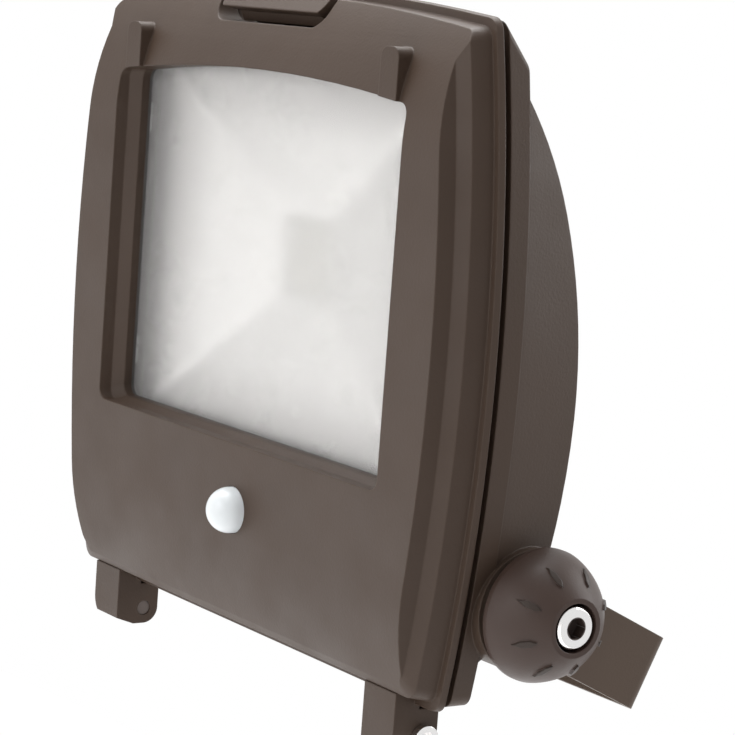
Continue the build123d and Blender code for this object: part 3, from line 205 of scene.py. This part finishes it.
def finish(name, colour, rough, metal=0.0, spread=0.05, cloud=0.03, rough_spread=0.05, specular=0.5,
           grain=0.0, grain_size=0.001, edge=0.0, edge_highlight=0.0, subsurface=0.0, depth=0.002, coat=0.0):
    """A principled finish: uneven colour and gloss, a fine grain, and soft edges lightened by a painted
    highlight.
    """
    material = bpy.data.materials.new(name)
    material.use_nodes = True
    tree = material.node_tree
    shader = tree.nodes["Principled BSDF"]
    place = add_node(tree, "ShaderNodeTexCoord").outputs["Object"]
    clouds = add_node(tree, "ShaderNodeTexNoise", {"Vector": place, "Scale": 1 / cloud, "Detail": 4.0})
    share = add_node(tree, "ShaderNodeMapRange", {"Value": clouds.outputs["Fac"], "From Min": NOISE_LOW,
                                                  "From Max": NOISE_HIGH})
    tint = add_node(tree, "ShaderNodeMix", {"Factor": share.outputs[0], 6: shade(colour, 1 - spread),
                                            7: shade(colour, 1 + spread)}, data_type="RGBA").outputs[2]
    patches = add_node(tree, "ShaderNodeTexNoise", {"Vector": place, "Scale": GLOSS_PATCHES / cloud,
                                                    "Detail": 3.0})
    level = add_node(tree, "ShaderNodeMapRange", {"Value": patches.outputs["Fac"], "From Min": NOISE_LOW,
                                                  "From Max": NOISE_HIGH,
                                                  "To Min": max(LEAST_ROUGH, rough - rough_spread),
                                                  "To Max": min(1.0, rough + rough_spread)})
    tree.links.new(level.outputs[0], shader.inputs["Roughness"])
    for socket, value in {"Metallic": metal, "Specular IOR Level": specular, "Coat Weight": coat,
                          "Subsurface Weight": subsurface, "Subsurface Scale": depth,
                          "Subsurface Radius": (1.0, 1.0, 1.0)}.items():
        shader.inputs[socket].default_value = value
    normal = None
    if edge:
        normal = add_node(tree, "ShaderNodeBevel", {"Radius": edge}, samples=6).outputs["Normal"]
    # Painted highlight: where the rounded normal turns from the true one, edges are lightened towards a paler
    # tint.
    if edge_highlight:
        true = add_node(tree, "ShaderNodeNewGeometry").outputs["Normal"]
        flat = add_node(tree, "ShaderNodeVectorMath", {0: normal, 1: true}, operation="DOT_PRODUCT")
        edge_highlight_mask = add_node(tree, "ShaderNodeMapRange", {"Value": flat.outputs["Value"], "From Min": EDGE_FLAT,
                                                       "From Max": EDGE_SHARP, "To Max": edge_highlight})
        tint = add_node(tree, "ShaderNodeMix", {"Factor": edge_highlight_mask.outputs[0], 6: tint,
                                                7: shade(colour, EDGE_HIGHLIGHT_TINT)}, data_type="RGBA").outputs[2]
    if grain:
        fine = add_node(tree, "ShaderNodeTexNoise", {"Vector": place, "Scale": 1 / grain_size, "Detail": 2.0})
        height = {"Height": fine.outputs["Fac"], "Strength": grain, "Distance": RELIEF * grain_size}
        if normal:
            height["Normal"] = normal
        normal = add_node(tree, "ShaderNodeBump", height).outputs["Normal"]
    if normal:
        tree.links.new(normal, shader.inputs["Normal"])
    tree.links.new(tint, shader.inputs["Base Color"])
    return material


def repaint(material, mask, colour):
    """Turn a finish to another colour where a mask is 1."""
    tree = material.node_tree
    base = tree.nodes["Principled BSDF"].inputs["Base Color"]
    mixed = add_node(tree, "ShaderNodeMix", {"Factor": mask, 6: base.links[0].from_socket, 7: colour},
                     data_type="RGBA").outputs[2]
    tree.links.new(mixed, base)
    return material


def darken(material, mask, colour, rough):
    """Turn a finish to another colour and gloss, no longer metal, where a mask is 1."""
    tree = material.node_tree
    shader = tree.nodes["Principled BSDF"]
    level = shader.inputs["Roughness"].links[0].from_socket
    gloss = add_node(tree, "ShaderNodeMix", {"Factor": mask, 2: level, 3: rough}).outputs[0]
    metal = add_node(tree, "ShaderNodeMix", {"Factor": mask, 2: shader.inputs["Metallic"].default_value,
                                             3: 0.0}).outputs[0]
    tree.links.new(gloss, shader.inputs["Roughness"])
    tree.links.new(metal, shader.inputs["Metallic"])
    return repaint(material, mask, colour)


def from_bolt_axis(tree):
    """How far along the clamp bolts' axis and how far from it a point of the surface lies."""
    place = add_node(tree, "ShaderNodeTexCoord").outputs["Object"]
    level = add_node(tree, "ShaderNodeVectorMath", {0: place, 1: (0, WALL_REACH * MM, 0)}, operation="ADD")
    across = add_node(tree, "ShaderNodeVectorMath", {0: level.outputs[0], 1: (0, 1, 1)}, operation="MULTIPLY")
    radius = add_node(tree, "ShaderNodeVectorMath", {0: across.outputs[0]}, operation="LENGTH")
    parts = add_node(tree, "ShaderNodeSeparateXYZ", {0: place})
    along = add_node(tree, "ShaderNodeMath", {0: parts.outputs["X"]}, operation="ABSOLUTE")
    return along.outputs[0], radius.outputs["Value"]


def powder_coat(settings):
    # Polyester powder baked on a die casting: brown-grey and satin, with a fine pebbled skin that breaks up
    # highlights and is thin along the edges, which a painted highlight makes a little lighter.
    return finish("powder coated die casting", settings.coat, rough=0.50, cloud=0.05, spread=0.05,
                  specular=0.28, grain=0.30, grain_size=settings.grain, edge=settings.edge, edge_highlight=0.14)


def coated_strip(settings):
    # The same powder on smooth bent strip: flatter, a shade lighter, with crisp edges that a faint painted
    # highlight lightens.
    return finish("powder coated strip", settings.strip, rough=0.48, cloud=0.04, spread=0.04, specular=0.3,
                  grain=0.18, grain_size=settings.grain, edge=0.0005, edge_highlight=0.08)


def moulded_nylon():
    # Glass-filled nylon from an eroded mould: a dry satin skin, a shade darker than the coat, its edges
    # lightened by a painted highlight. The raised grip marks get painted shade that makes them darker still.
    material = finish("moulded glass-filled nylon", srgb("#3F312B"), rough=0.44, cloud=0.02, spread=0.06,
                      specular=0.3, grain=0.25, grain_size=0.0007, edge=0.0005, edge_highlight=0.15)
    tree = material.node_tree
    along, radius = from_bolt_axis(tree)
    centre, rise, dome = arc_through(*KNOB_DOME)
    base = (KNOB_BASE + centre) * MM
    lengthwise = add_node(tree, "ShaderNodeMath", {0: along, 1: base}, operation="SUBTRACT")
    outwards = add_node(tree, "ShaderNodeMath", {0: radius, 1: rise * MM}, operation="SUBTRACT")
    reach = add_node(tree, "ShaderNodeCombineXYZ", {"X": lengthwise.outputs[0], "Y": outwards.outputs[0]})
    far = add_node(tree, "ShaderNodeVectorMath", {0: reach.outputs[0]}, operation="LENGTH")
    mark = add_node(tree, "ShaderNodeMapRange", {"Value": far.outputs["Value"],
                                                 "From Min": (dome + GRIP_RISE) * MM,
                                                 "From Max": (dome + 2 * GRIP_RISE) * MM})
    # Painted shade: the raised grip marks turn dark brown.
    return darken(material, mark.outputs[0], srgb("#302620"), 0.42)


def chromed_bolts():
    # Chrome on machined steel: bright, mirror-like rings. Their hex sockets are filled with painted shade, in
    # the dark brown of a painted reflection of the knob.
    material = finish("chromed clamp bolts", srgb("#E2E1E0"), rough=0.14, metal=1.0, spread=0.02,
                      rough_spread=0.03, edge=0.0003)
    tree = material.node_tree
    _, radius = from_bolt_axis(tree)
    # Painted shade inside the socket radius, with the knob's brown as a painted reflection.
    socket = add_node(tree, "ShaderNodeMapRange", {"Value": radius, "From Min": BOLT_SOCKET_R * MM,
                                                   "From Max": (BOLT_SOCKET_R - MASK_EDGE) * MM})
    return darken(material, socket.outputs[0], srgb("#3A2F2A"), 0.45)


def chromed_hinge_screws():
    # The same chrome on the hinge screws' heads; their tips are coated with the casting and look dull.
    material = finish("chromed hinge screws", srgb("#E2E1E0"), rough=0.14, metal=1.0, spread=0.02,
                      rough_spread=0.03, edge=0.0003)
    tree = material.node_tree
    along, _ = from_bolt_axis(tree)
    tip = add_node(tree, "ShaderNodeMapRange", {"Value": along, "From Min": PIN_TIP_X * MM,
                                                "From Max": (PIN_TIP_X - MASK_EDGE) * MM})
    return darken(material, tip.outputs[0], srgb("#5C524D"), 0.4)


def zinc_plate():
    # Bright zinc on small steel screws and clips: bluish, a little cloudy.
    return finish("bright zinc plate", srgb("#B9BAB8"), rough=0.30, metal=1.0, cloud=0.006, grain=0.1,
                  grain_size=0.0005, edge=0.0002)


def brass():
    # Turned brass screws: warm and bright.
    return finish("turned brass", srgb("#C9A65A"), rough=0.25, metal=1.0, cloud=0.004, edge=0.0002)


def frosted_glass(settings):
    # Toughened glass, etched inside and pressed with a fine stipple: it passes the reflector's
    # shine as a soft blur and scatters some light back as white.
    material = finish("frosted toughened glass", srgb("#FBFBFA"), rough=settings.frost, spread=0.01,
                      cloud=0.05, rough_spread=0.02)
    tree = material.node_tree
    shader = tree.nodes["Principled BSDF"]
    shader.inputs["Transmission Weight"].default_value = 1 - settings.milk
    shader.inputs["IOR"].default_value = 1.5
    place = add_node(tree, "ShaderNodeTexCoord").outputs["Object"]
    dots = add_node(tree, "ShaderNodeTexVoronoi", {"Vector": place, "Scale": 1 / settings.stipple,
                                                   "Randomness": 0.35}, feature="SMOOTH_F1")
    relief = add_node(tree, "ShaderNodeBump", {"Height": dots.outputs["Distance"], "Strength": 0.2,
                                               "Distance": RELIEF * settings.stipple})
    tree.links.new(relief.outputs["Normal"], shader.inputs["Normal"])
    return material


def satin_sheet():
    # Aluminium reflector sheet, bright anodised and softly etched. Painted shade turns it grey towards its
    # mouth, and its four folds are rounded, each with a painted highlight as a pale line.
    material = finish("bright anodised sheet", srgb("#FBFBFB"), rough=0.28, metal=0.85, spread=0.01,
                      cloud=0.04, rough_spread=0.02, edge=0.003)
    tree = material.node_tree
    place = add_node(tree, "ShaderNodeTexCoord").outputs["Object"]
    level = add_node(tree, "ShaderNodeMapping", {"Vector": place, "Location": on_head(0, 0, LAMP_Z),
                                                 "Rotation": (HEAD_TILT, 0, 0)}, vector_type="TEXTURE")
    parts = add_node(tree, "ShaderNodeSeparateXYZ", {0: level.outputs[0]}).outputs
    shares = []
    for axis, mouth in (("X", MOUTH_HALF), ("Z", MOUTH_TALL / 2)):
        away = add_node(tree, "ShaderNodeMath", {0: parts[axis]}, operation="ABSOLUTE").outputs[0]
        shares.append(add_node(tree, "ShaderNodeMapRange", {"Value": away, "From Min": THROAT_HALF * MM,
                                                            "From Max": mouth * MM}).outputs[0])
    outward = add_node(tree, "ShaderNodeMath", {0: shares[0], 1: shares[1]}, operation="MAXIMUM").outputs[0]
    apart = add_node(tree, "ShaderNodeMath", {0: shares[0], 1: shares[1]}, operation="SUBTRACT").outputs[0]
    apart = add_node(tree, "ShaderNodeMath", {0: apart}, operation="ABSOLUTE").outputs[0]
    # Painted shade: the sheet greys towards its mouth, standing for the dark surround it reflects.
    painted_shade = add_node(tree, "ShaderNodeMapRange", {"Value": outward, "From Min": PAINTED_SHADE_FROM, "From Max": 1.0},
                    interpolation_type="SMOOTHSTEP").outputs[0]
    # Painted highlight: a pale line along each fold.
    fold_highlight = add_node(tree, "ShaderNodeMapRange", {"Value": apart, "From Min": FOLD_HIGHLIGHT_FADE,
                                                 "From Max": FOLD_HIGHLIGHT_FULL})
    repaint(material, painted_shade, srgb("#C4C3C3"))
    return repaint(material, fold_highlight.outputs[0], srgb("#FFFFFF"))


def white_mask():
    # White solder mask on an aluminium-core board: smooth and slightly glossy.
    return finish("white solder mask", srgb("#F2F2EF"), rough=0.38, spread=0.02)


def phosphor(settings):
    # Phosphor-filled silicone over the light cells: a matt, soft fill.
    return finish("phosphor silicone", settings.phosphor, rough=0.6, cloud=0.004, spread=0.04, grain=0.3,
                  grain_size=0.0005, subsurface=0.2)


def light_cells(settings):
    # Cells that show through the phosphor as darker dots.
    return finish("light cells", shade(settings.phosphor, 0.9), rough=0.5, cloud=0.003, spread=0.05)


def silicone(name, colour):
    # Moulded silicone seals: matt, with a soft bloom.
    return finish(name, colour, rough=0.68, cloud=0.01, grain=0.12, grain_size=0.0006)


def milky_lens():
    # Polythene lens of the sensor, moulded: milky white and cool. Light that falls in anywhere comes out all
    # over it, so a faint even painted glow is added to its scattering, though the lens is no lamp.
    material = finish("moulded lens polythene", srgb("#DCE3E6"), rough=0.24, spread=0.01, subsurface=0.6,
                      depth=0.003, edge=0.0003)
    shader = material.node_tree.nodes["Principled BSDF"]
    shader.inputs["Emission Color"].default_value = srgb("#F4FAFF")
    shader.inputs["Emission Strength"].default_value = LENS_GLOW
    return material


def varnished_board():
    # Glass-fibre board under green mask, with the weave faint below it.
    return finish("green mask board", srgb("#1E5B35"), rough=0.28, cloud=0.004, grain=0.15, grain_size=0.0008,
                  coat=0.3)


def nickel_can():
    # Nickel-plated can of the heat sensor: warm grey and bright.
    return finish("nickel plated can", srgb("#BDB8AE"), rough=0.22, metal=1.0, cloud=0.005, edge=0.0002)


def pale_plastic(name, colour):
    # Moulded plastic cases and dials: satin, faintly uneven.
    return finish(name, colour, rough=0.42, cloud=0.015, grain=0.12, grain_size=0.0007, edge=0.0003)


def black_plastic(name):
    # Moulded nylon for glands, clamps and small components: a dry black skin.
    return finish(name, srgb("#1D1D1D"), rough=0.46, cloud=0.012, grain=0.2, grain_size=0.0006, edge=0.0003)


def printed_white():
    # Screen-printed ink: chalky white.
    return finish("printed white ink", srgb("#E8E8E2"), rough=0.6, cloud=0.003, spread=0.03)


# ---- pieces ----
def dress(material, *names):
    """Give CAD pieces a finish of their own."""
    for name in names:
        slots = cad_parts[name].data.materials
        slots.clear()
        slots.append(material)


def mesh_object(name, shape):
    """Turn a finished bmesh into an object in the scene, its faces pointing outwards."""
    bmesh.ops.remove_doubles(shape, verts=shape.verts, dist=1e-7)
    bmesh.ops.recalc_face_normals(shape, faces=shape.faces)
    mesh = bpy.data.meshes.new(name)
    shape.to_mesh(mesh)
    shape.free()
    made = bpy.data.objects.new(name, mesh)
    bpy.context.scene.collection.objects.link(made)
    return made


def brick(name, length, width, height, round_off):
    """A block with softened edges, standing on the origin, in millimetres."""
    shape = bmesh.new()
    bmesh.ops.create_cube(shape, size=1.0)
    bmesh.ops.scale(shape, verts=shape.verts, vec=(length * MM, width * MM, height * MM))
    bmesh.ops.translate(shape, verts=shape.verts, vec=(0, 0, height * MM / 2))
    bmesh.ops.bevel(shape, geom=shape.edges[:], offset=round_off * MM, segments=2, affect="EDGES",
                    profile=0.5)
    return mesh_object(name, shape)


def lathe(name, profile, steps=32):
    """A piece turned about Z from (radius, height) points in millimetres, its ends closed on the axis."""
    shape = bmesh.new()
    line = [shape.verts.new((r * MM, 0, h * MM)) for r, h in profile]
    edges = [shape.edges.new(pair) for pair in zip(line, line[1:])]
    bmesh.ops.spin(shape, geom=line + edges, axis=(0, 0, 1), cent=(0, 0, 0), steps=steps,
                   angle=2 * math.pi)
    return mesh_object(name, shape)


def slotted_head(name, radius, height, slot):
    """A cheese-head screw seen from above: a low disc with two half discs beside its slot."""
    shape = bmesh.new()
    bmesh.ops.create_cone(shape, cap_ends=True, segments=32, radius1=radius * MM, radius2=radius * MM,
                          depth=height * MM / 2, matrix=Matrix.Translation((0, 0, height * MM / 4)))
    start = math.asin(slot / 2 / radius)
    for side in (0, math.pi):
        arc = [start + (math.pi - 2 * start) * i / HALF_DISC_STEPS + side for i in range(HALF_DISC_STEPS + 1)]
        reach = radius * HALF_DISC_SHARE * MM
        low = [shape.verts.new((reach * math.cos(a), reach * math.sin(a), height * MM / 2)) for a in arc]
        face = shape.faces.new(low)
        top = bmesh.ops.extrude_face_region(shape, geom=[face])["geom"]
        bmesh.ops.translate(shape, verts=[v for v in top if isinstance(v, bmesh.types.BMVert)],
                            vec=(0, 0, height * MM / 2))
    return mesh_object(name, shape)


def repeat_tree(name, ring):
    """Geometry Nodes that copy one small part over a grid or round a ring and give it its finish."""
    tree = bpy.data.node_groups.new(name, "GeometryNodeTree")
    face = tree.interface
    wanted = [("Part", "NodeSocketObject"), ("Finish", "NodeSocketMaterial")]
    if ring:
        wanted += [("Count", "NodeSocketInt"), ("Radius", "NodeSocketFloat")]
    else:
        wanted += [("Columns", "NodeSocketInt"), ("Rows", "NodeSocketInt"),
                   ("Pitch across", "NodeSocketFloat"), ("Pitch up", "NodeSocketFloat")]
    for label, kind in wanted:
        face.new_socket(label, in_out="INPUT", socket_type=kind)
    face.new_socket("Geometry", in_out="OUTPUT", socket_type="NodeSocketGeometry")
    given = add_node(tree, "NodeGroupInput").outputs
    part = add_node(tree, "GeometryNodeObjectInfo", {"Object": given["Part"]})
    turn = {}
    if ring:
        points = add_node(tree, "GeometryNodeMeshCircle", {"Vertices": given["Count"],
                                                           "Radius": given["Radius"]})
        place = add_node(tree, "GeometryNodeInputPosition").outputs[0]
        turned = add_node(tree, "FunctionNodeAlignRotationToVector", {"Vector": place}, axis="X")
        turn["Rotation"] = turned.outputs[0]
    else:
        spans = []
        for count, pitch in (("Columns", "Pitch across"), ("Rows", "Pitch up")):
            gaps = add_node(tree, "ShaderNodeMath", {0: given[count], 1: 1.0}, operation="SUBTRACT")
            span = add_node(tree, "ShaderNodeMath", {0: gaps.outputs[0], 1: given[pitch]},
                            operation="MULTIPLY")
            spans.append(span.outputs[0])
        points = add_node(tree, "GeometryNodeMeshGrid", {"Size X": spans[0], "Size Y": spans[1],
                                                         "Vertices X": given["Columns"],
                                                         "Vertices Y": given["Rows"]})
    copies = add_node(tree, "GeometryNodeInstanceOnPoints", {"Points": points.outputs["Mesh"],
                                                             "Instance": part.outputs["Geometry"], **turn})
    real = add_node(tree, "GeometryNodeRealizeInstances", {"Geometry": copies.outputs[0]})
    done = add_node(tree, "GeometryNodeSetMaterial", {"Geometry": real.outputs[0],
                                                      "Material": given["Finish"]})
    add_node(tree, "NodeGroupOutput", {"Geometry": done.outputs[0]})
    return tree


def repeated(name, part, finish_used, place, body, slot, **sizes):
    """Copies of one part, made by Geometry Nodes and turned into a plain mesh that rides on its body."""
    ring = "Count" in sizes
    key = "ring of parts" if ring else "grid of parts"
    tree = bpy.data.node_groups.get(key) or repeat_tree(key, ring)
    carrier = bpy.data.objects.new(name + " points", bpy.data.meshes.new(name + " points"))
    bpy.context.scene.collection.objects.link(carrier)
    modifier = carrier.modifiers.new("copies", "NODES")
    modifier.node_group = tree
    for item in tree.interface.items_tree:
        if item.in_out == "INPUT":
            modifier[item.identifier] = {"Part": part, "Finish": finish_used}.get(
                item.name, sizes.get(item.name.replace(" ", "_")))
    bpy.context.view_layer.update()
    graph = bpy.context.evaluated_depsgraph_get()
    mesh = bpy.data.meshes.new_from_object(carrier.evaluated_get(graph))
    mesh.name = name
    mesh.transform(place)
    carrier.modifiers.remove(modifier)
    bpy.data.objects.remove(carrier)
    bpy.data.objects.remove(part)
    made = bpy.data.objects.new(name, mesh)
    bpy.context.scene.collection.objects.link(made)
    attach(made, body)


def settle(piece, material, place, body):
    """Put a finished mesh in its place, in its mesh data, and let it ride on its body."""
    piece.data.transform(place)
    piece.data.materials.append(material)
    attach(piece, body)


class LIGHT_OT_castings(bpy.types.Operator):
    """Powder-coat the bezel, the housing, the latch and the bracket."""
    bl_idname = "light.castings"
    bl_label = "Castings"

    def execute(self, context):
        settings = context.scene.light_casting
        dress(powder_coat(settings), "front_bezel", "rear_housing", "latch")
        dress(coated_strip(settings), "bracket")
        return {"FINISHED"}


class LIGHT_OT_window(bpy.types.Operator):
    """Finish the glass, its gasket and clips, and the reflector."""
    bl_idname = "light.window"
    bl_label = "Window"

    def execute(self, context):
        dress(frosted_glass(context.scene.light_window), "window_glass")
        dress(silicone("grey silicone cord", srgb("#4A4847")), "window_gasket", "housing_gasket")
        dress(satin_sheet(), "reflector")
        return {"FINISHED"}


class LIGHT_OT_lamp(bpy.types.Operator):
    """Finish the emitter, and lay its dam and its light cells."""
    bl_idname = "light.lamp"
    bl_label = "Lamp"

    def execute(self, context):
        settings = context.scene.light_lamp
        dress(white_mask(), "led_substrate")
        dress(phosphor(settings), "led_phosphor")
        dam = lathe("emitter_dam", [(PHOSPHOR_R + out, up) for out, up in DAM], steps=64)
        settle(dam, silicone("white dam silicone", srgb("#E4E4DE")), seat(0, EMITTER_Y, LAMP_Z, FORWARD),
               "head")
        repeated("emitter_cells", brick("cell", *CELL, CELL_ROUND), light_cells(settings),
                 seat(0, PHOSPHOR_Y, LAMP_Z, FORWARD), "head", "phosphor", Columns=settings.cells,
                 Rows=settings.cells, Pitch_across=CELL_PITCH * MM, Pitch_up=CELL_PITCH * MM)
        return {"FINISHED"}


class LIGHT_OT_sensor(bpy.types.Operator):
    """Finish the movement sensor, and fit its small components and dial marks."""
    bl_idname = "light.sensor"
    bl_label = "Sensor"

    def execute(self, context):
        dress(milky_lens(), "pir_dome")
        dress(varnished_board(), "sensor_board")
        dress(nickel_can(), "pir_element")
        dress(pale_plastic("ivory dial plastic", srgb("#E4E0D4")), "time_dial", "range_dial", "light_dial")
        dress(black_plastic("black nut nylon"), "dome_ring")
        chips = black_plastic("black component resin")
        across, up = CHIP_PITCH
        repeated("board_resistors", brick("chip", *CHIP, CHIP_ROUND), chips,
                 seat(BOARD_X, BOARD_REAR, BOARD_Z + CHIP_RISE, BACKWARD), "bezel", "black_plastic",
                 Columns=CHIP_COLUMNS, Rows=CHIP_ROWS, Pitch_across=across * MM, Pitch_up=up * MM)
        marks = printed_white()
        for step, name in ((-1, "time_dial_marks"), (0, "range_dial_marks"), (1, "light_dial_marks")):
            repeated(name, brick("mark", *MARK, MARK_ROUND), marks,
                     seat(BOARD_X + step * DIAL_PITCH, BOARD_REAR, BOARD_Z - DIAL_DROP, BACKWARD), "bezel",
                     "white_plastic", Count=MARKS, Radius=MARK_RING * MM)
        return {"FINISHED"}


class LIGHT_OT_supply(bpy.types.Operator):
    """Finish the driver and its screws, the terminals and the gland, and add ribs and screws to them."""
    bl_idname = "light.supply"
    bl_label = "Supply"

    def execute(self, context):
        case = pale_plastic("white driver case", srgb("#D9D8D2"))
        nylon = black_plastic("black gland nylon")
        dress(case, "led_driver")
        dress(nylon, "gland_body", "gland_locknut", "gland_cap", "terminal_block")
        dress(silicone("black silicone seal", srgb("#232323")), "gland_seal")
        dress(zinc_plate(), "clip_screws", "board_screws", "led_screws", "reflector_screws", "driver_screws",
              "glass_clips", "latch_pin", "clamp_washers")
        dress(brass(), "earth_screw")
        rib = brick("rib", RIB_WIDTH, DRIVER_H - DRIVER_MARGIN, RIB_HEIGHT, RIB_ROUND)
        pitch = (DRIVER_L - 2 * DRIVER_MARGIN) / (DRIVER_RIBS - 1) * MM
        repeated("driver_ribs", rib, case, seat(DRIVER_X, DRIVER_FRONT, DRIVER_Z, FORWARD), "head",
                 "white_plastic", Columns=DRIVER_RIBS, Rows=1, Pitch_across=pitch, Pitch_up=MM)
        repeated("terminal_screws", slotted_head("head", *TERMINAL_HEAD), brass(),
                 seat(TERMINAL_X, TERMINAL_FRONT + TERMINAL_SUNK, DRIVER_Z, FORWARD), "head", "zinc_steel",
                 Columns=TERMINAL_WAYS, Rows=1, Pitch_across=TERMINAL_PITCH * MM, Pitch_up=MM)
        near, far, start, end = GLAND_CAP
        length = math.hypot(near - far, end - start) * GLAND_RIB_SHARE
        rib = brick("rib", GLAND_RIB, GLAND_RIB, length, GLAND_RIB_ROUND)
        rib.data.transform(Matrix.Rotation(-math.atan2(near - far, end - start), 4, "Y"))
        repeated("gland_ribs", rib, nylon, seat(GLAND_X, start + GLAND_RIB_START, GLAND_Z, BACKWARD), "head",
                 "black_plastic", Count=GLAND_RIBS, Radius=(near - GLAND_RIB_SUNK) * MM)
        return {"FINISHED"}


class LIGHT_OT_clamps(bpy.types.Operator):
    """Finish the clamp knobs, their bolts and the hinge screws."""
    bl_idname = "light.clamps"
    bl_label = "Clamps"

    def execute(self, context):
        dress(moulded_nylon(), "knob_left", "knob_right")
        dress(chromed_bolts(), "bolt_left", "bolt_right")
        dress(chromed_hinge_screws(), "hinge_screws")
        return {"FINISHED"}


# ---- studio ----
def area_lamp(name, place, target, size, power):
    """A soft white rectangular lamp, turned towards its target."""
    data = bpy.data.lights.new(name, "AREA")
    data.shape, data.size, data.size_y, data.energy = "RECTANGLE", size[0], size[1], power
    lamp = bpy.data.objects.new(name, data)
    bpy.context.scene.collection.objects.link(lamp)
    lamp.location = place
    lamp.rotation_euler = (target - place).to_track_quat("-Z", "Y").to_euler()


def camera_axes(studio):
    """The camera's right, up and backward directions in the wall frame."""
    az, el, roll = studio.azimuth, studio.elevation, studio.roll
    back = Vector((math.sin(az) * math.cos(el), -math.cos(az) * math.cos(el), math.sin(el)))
    level = Vector((0, 0, 1)).cross(back).normalized()
    rise = back.cross(level)
    right = level * math.cos(roll) + rise * math.sin(roll)
    return right, rise * math.cos(roll) - level * math.sin(roll), back


def seen_or_mirrored(tree):
    """1 for rays from the camera, for mirror rays and for rays through glass."""
    path = add_node(tree, "ShaderNodeLightPath").outputs
    seen = add_node(tree, "ShaderNodeMath", {0: path["Is Camera Ray"], 1: path["Is Glossy Ray"]},
                    operation="MAXIMUM").outputs[0]
    return add_node(tree, "ShaderNodeMath", {0: seen, 1: path["Is Transmission Ray"]},
                    operation="MAXIMUM").outputs[0]


class LIGHT_OT_studio(bpy.types.Operator):
    """Lay the floor, hang the lamps and place the camera."""
    bl_idname = "light.studio"
    bl_label = "Studio"

    def execute(self, context):
        studio = context.scene.light_studio
        scene = context.scene
        scene.view_settings.view_transform = "Standard"
        right, up, back = camera_axes(studio)
        data = bpy.data.cameras.new("camera")
        data.lens, data.sensor_width, data.clip_start, data.clip_end = studio.lens, 36.0, 0.01, 50.0
        camera = bpy.data.objects.new("camera", data)
        scene.collection.objects.link(camera)
        turn = Matrix((right, up, back)).transposed().to_4x4()
        camera.matrix_world = Matrix.Translation(studio.place) @ turn
        scene.camera = camera

        shape = bmesh.new()
        bmesh.ops.create_grid(shape, x_segments=2, y_segments=2, size=FLOOR_HALF)
        bmesh.ops.translate(shape, verts=shape.verts, vec=(0, 0, FLOOR_Z))
        floor = mesh_object("floor", shape)
        paper = finish("white paper", srgb("#F4F4F4"), rough=0.9, spread=0.01, cloud=0.5)
        tree = paper.node_tree
        shader = tree.nodes["Principled BSDF"]
        shader.inputs["Emission Color"].default_value = (1, 1, 1, 1)
        lit = add_node(tree, "ShaderNodeMath", {0: seen_or_mirrored(tree), 1: FLOOR_GLOW},
                       operation="MULTIPLY")
        tree.links.new(lit.outputs[0], shader.inputs["Emission Strength"])
        floor.data.materials.append(paper)

        world = bpy.data.worlds.new("studio")
        scene.world = world
        world.use_nodes = True
        tree = world.node_tree
        white = tree.nodes["Background"]
        white.inputs["Color"].default_value, white.inputs["Strength"].default_value = (1, 1, 1, 1), 1.0
        fill = add_node(tree, "ShaderNodeBackground", {"Color": srgb("#F4E8E3"), "Strength": studio.fill})
        mix = add_node(tree, "ShaderNodeMixShader", {"Fac": seen_or_mirrored(tree),
                                                     1: fill.outputs["Background"],
                                                     2: white.outputs["Background"]})
        tree.links.new(mix.outputs["Shader"], tree.nodes["World Output"].inputs["Surface"])

        middle = on_head(0, HEAD_MIDDLE_Y, 0)
        for name, (beside, above, behind), size, power in SOFTBOXES:
            area_lamp(name, middle + right * beside + up * above + back * behind, middle, size, power)
        return {"FINISHED"}


class LIGHT_PT_panel(bpy.types.Panel):
    """Settings and pieces of the security light."""
    bl_idname = "LIGHT_PT_panel"
    bl_label = "Security light"
    bl_space_type = "VIEW_3D"
    bl_region_type = "UI"
    bl_category = "Security Light"

    def draw(self, context):
        for name in SETTINGS:
            group = getattr(context.scene, name)
            for key in group.bl_rna.properties.keys():
                if key not in ("rna_type", "name"):
                    self.layout.prop(group, key)
        for operator in OPERATORS:
            self.layout.operator(operator.bl_idname)


OPERATORS = (LIGHT_OT_castings, LIGHT_OT_window, LIGHT_OT_lamp, LIGHT_OT_sensor, LIGHT_OT_supply,
             LIGHT_OT_clamps, LIGHT_OT_studio)
SETTINGS = {"light_casting": CastingSettings, "light_window": WindowSettings, "light_lamp": LampSettings,
            "light_studio": StudioSettings}


def register():
    for cls in (*SETTINGS.values(), *OPERATORS, LIGHT_PT_panel):
        bpy.utils.register_class(cls)
    for name, cls in SETTINGS.items():
        setattr(bpy.types.Scene, name, bpy.props.PointerProperty(type=cls))


def unregister():
    for name in SETTINGS:
        delattr(bpy.types.Scene, name)
    for cls in (LIGHT_PT_panel, *reversed(OPERATORS), *SETTINGS.values()):
        bpy.utils.unregister_class(cls)


def main():
    register()
    bpy.ops.light.castings()
    bpy.ops.light.window()
    bpy.ops.light.lamp()
    bpy.ops.light.sensor()
    bpy.ops.light.supply()
    bpy.ops.light.clamps()
    bpy.ops.light.studio()
    bpy.context.view_layer.update()


if __name__ == "__main__":
    main()
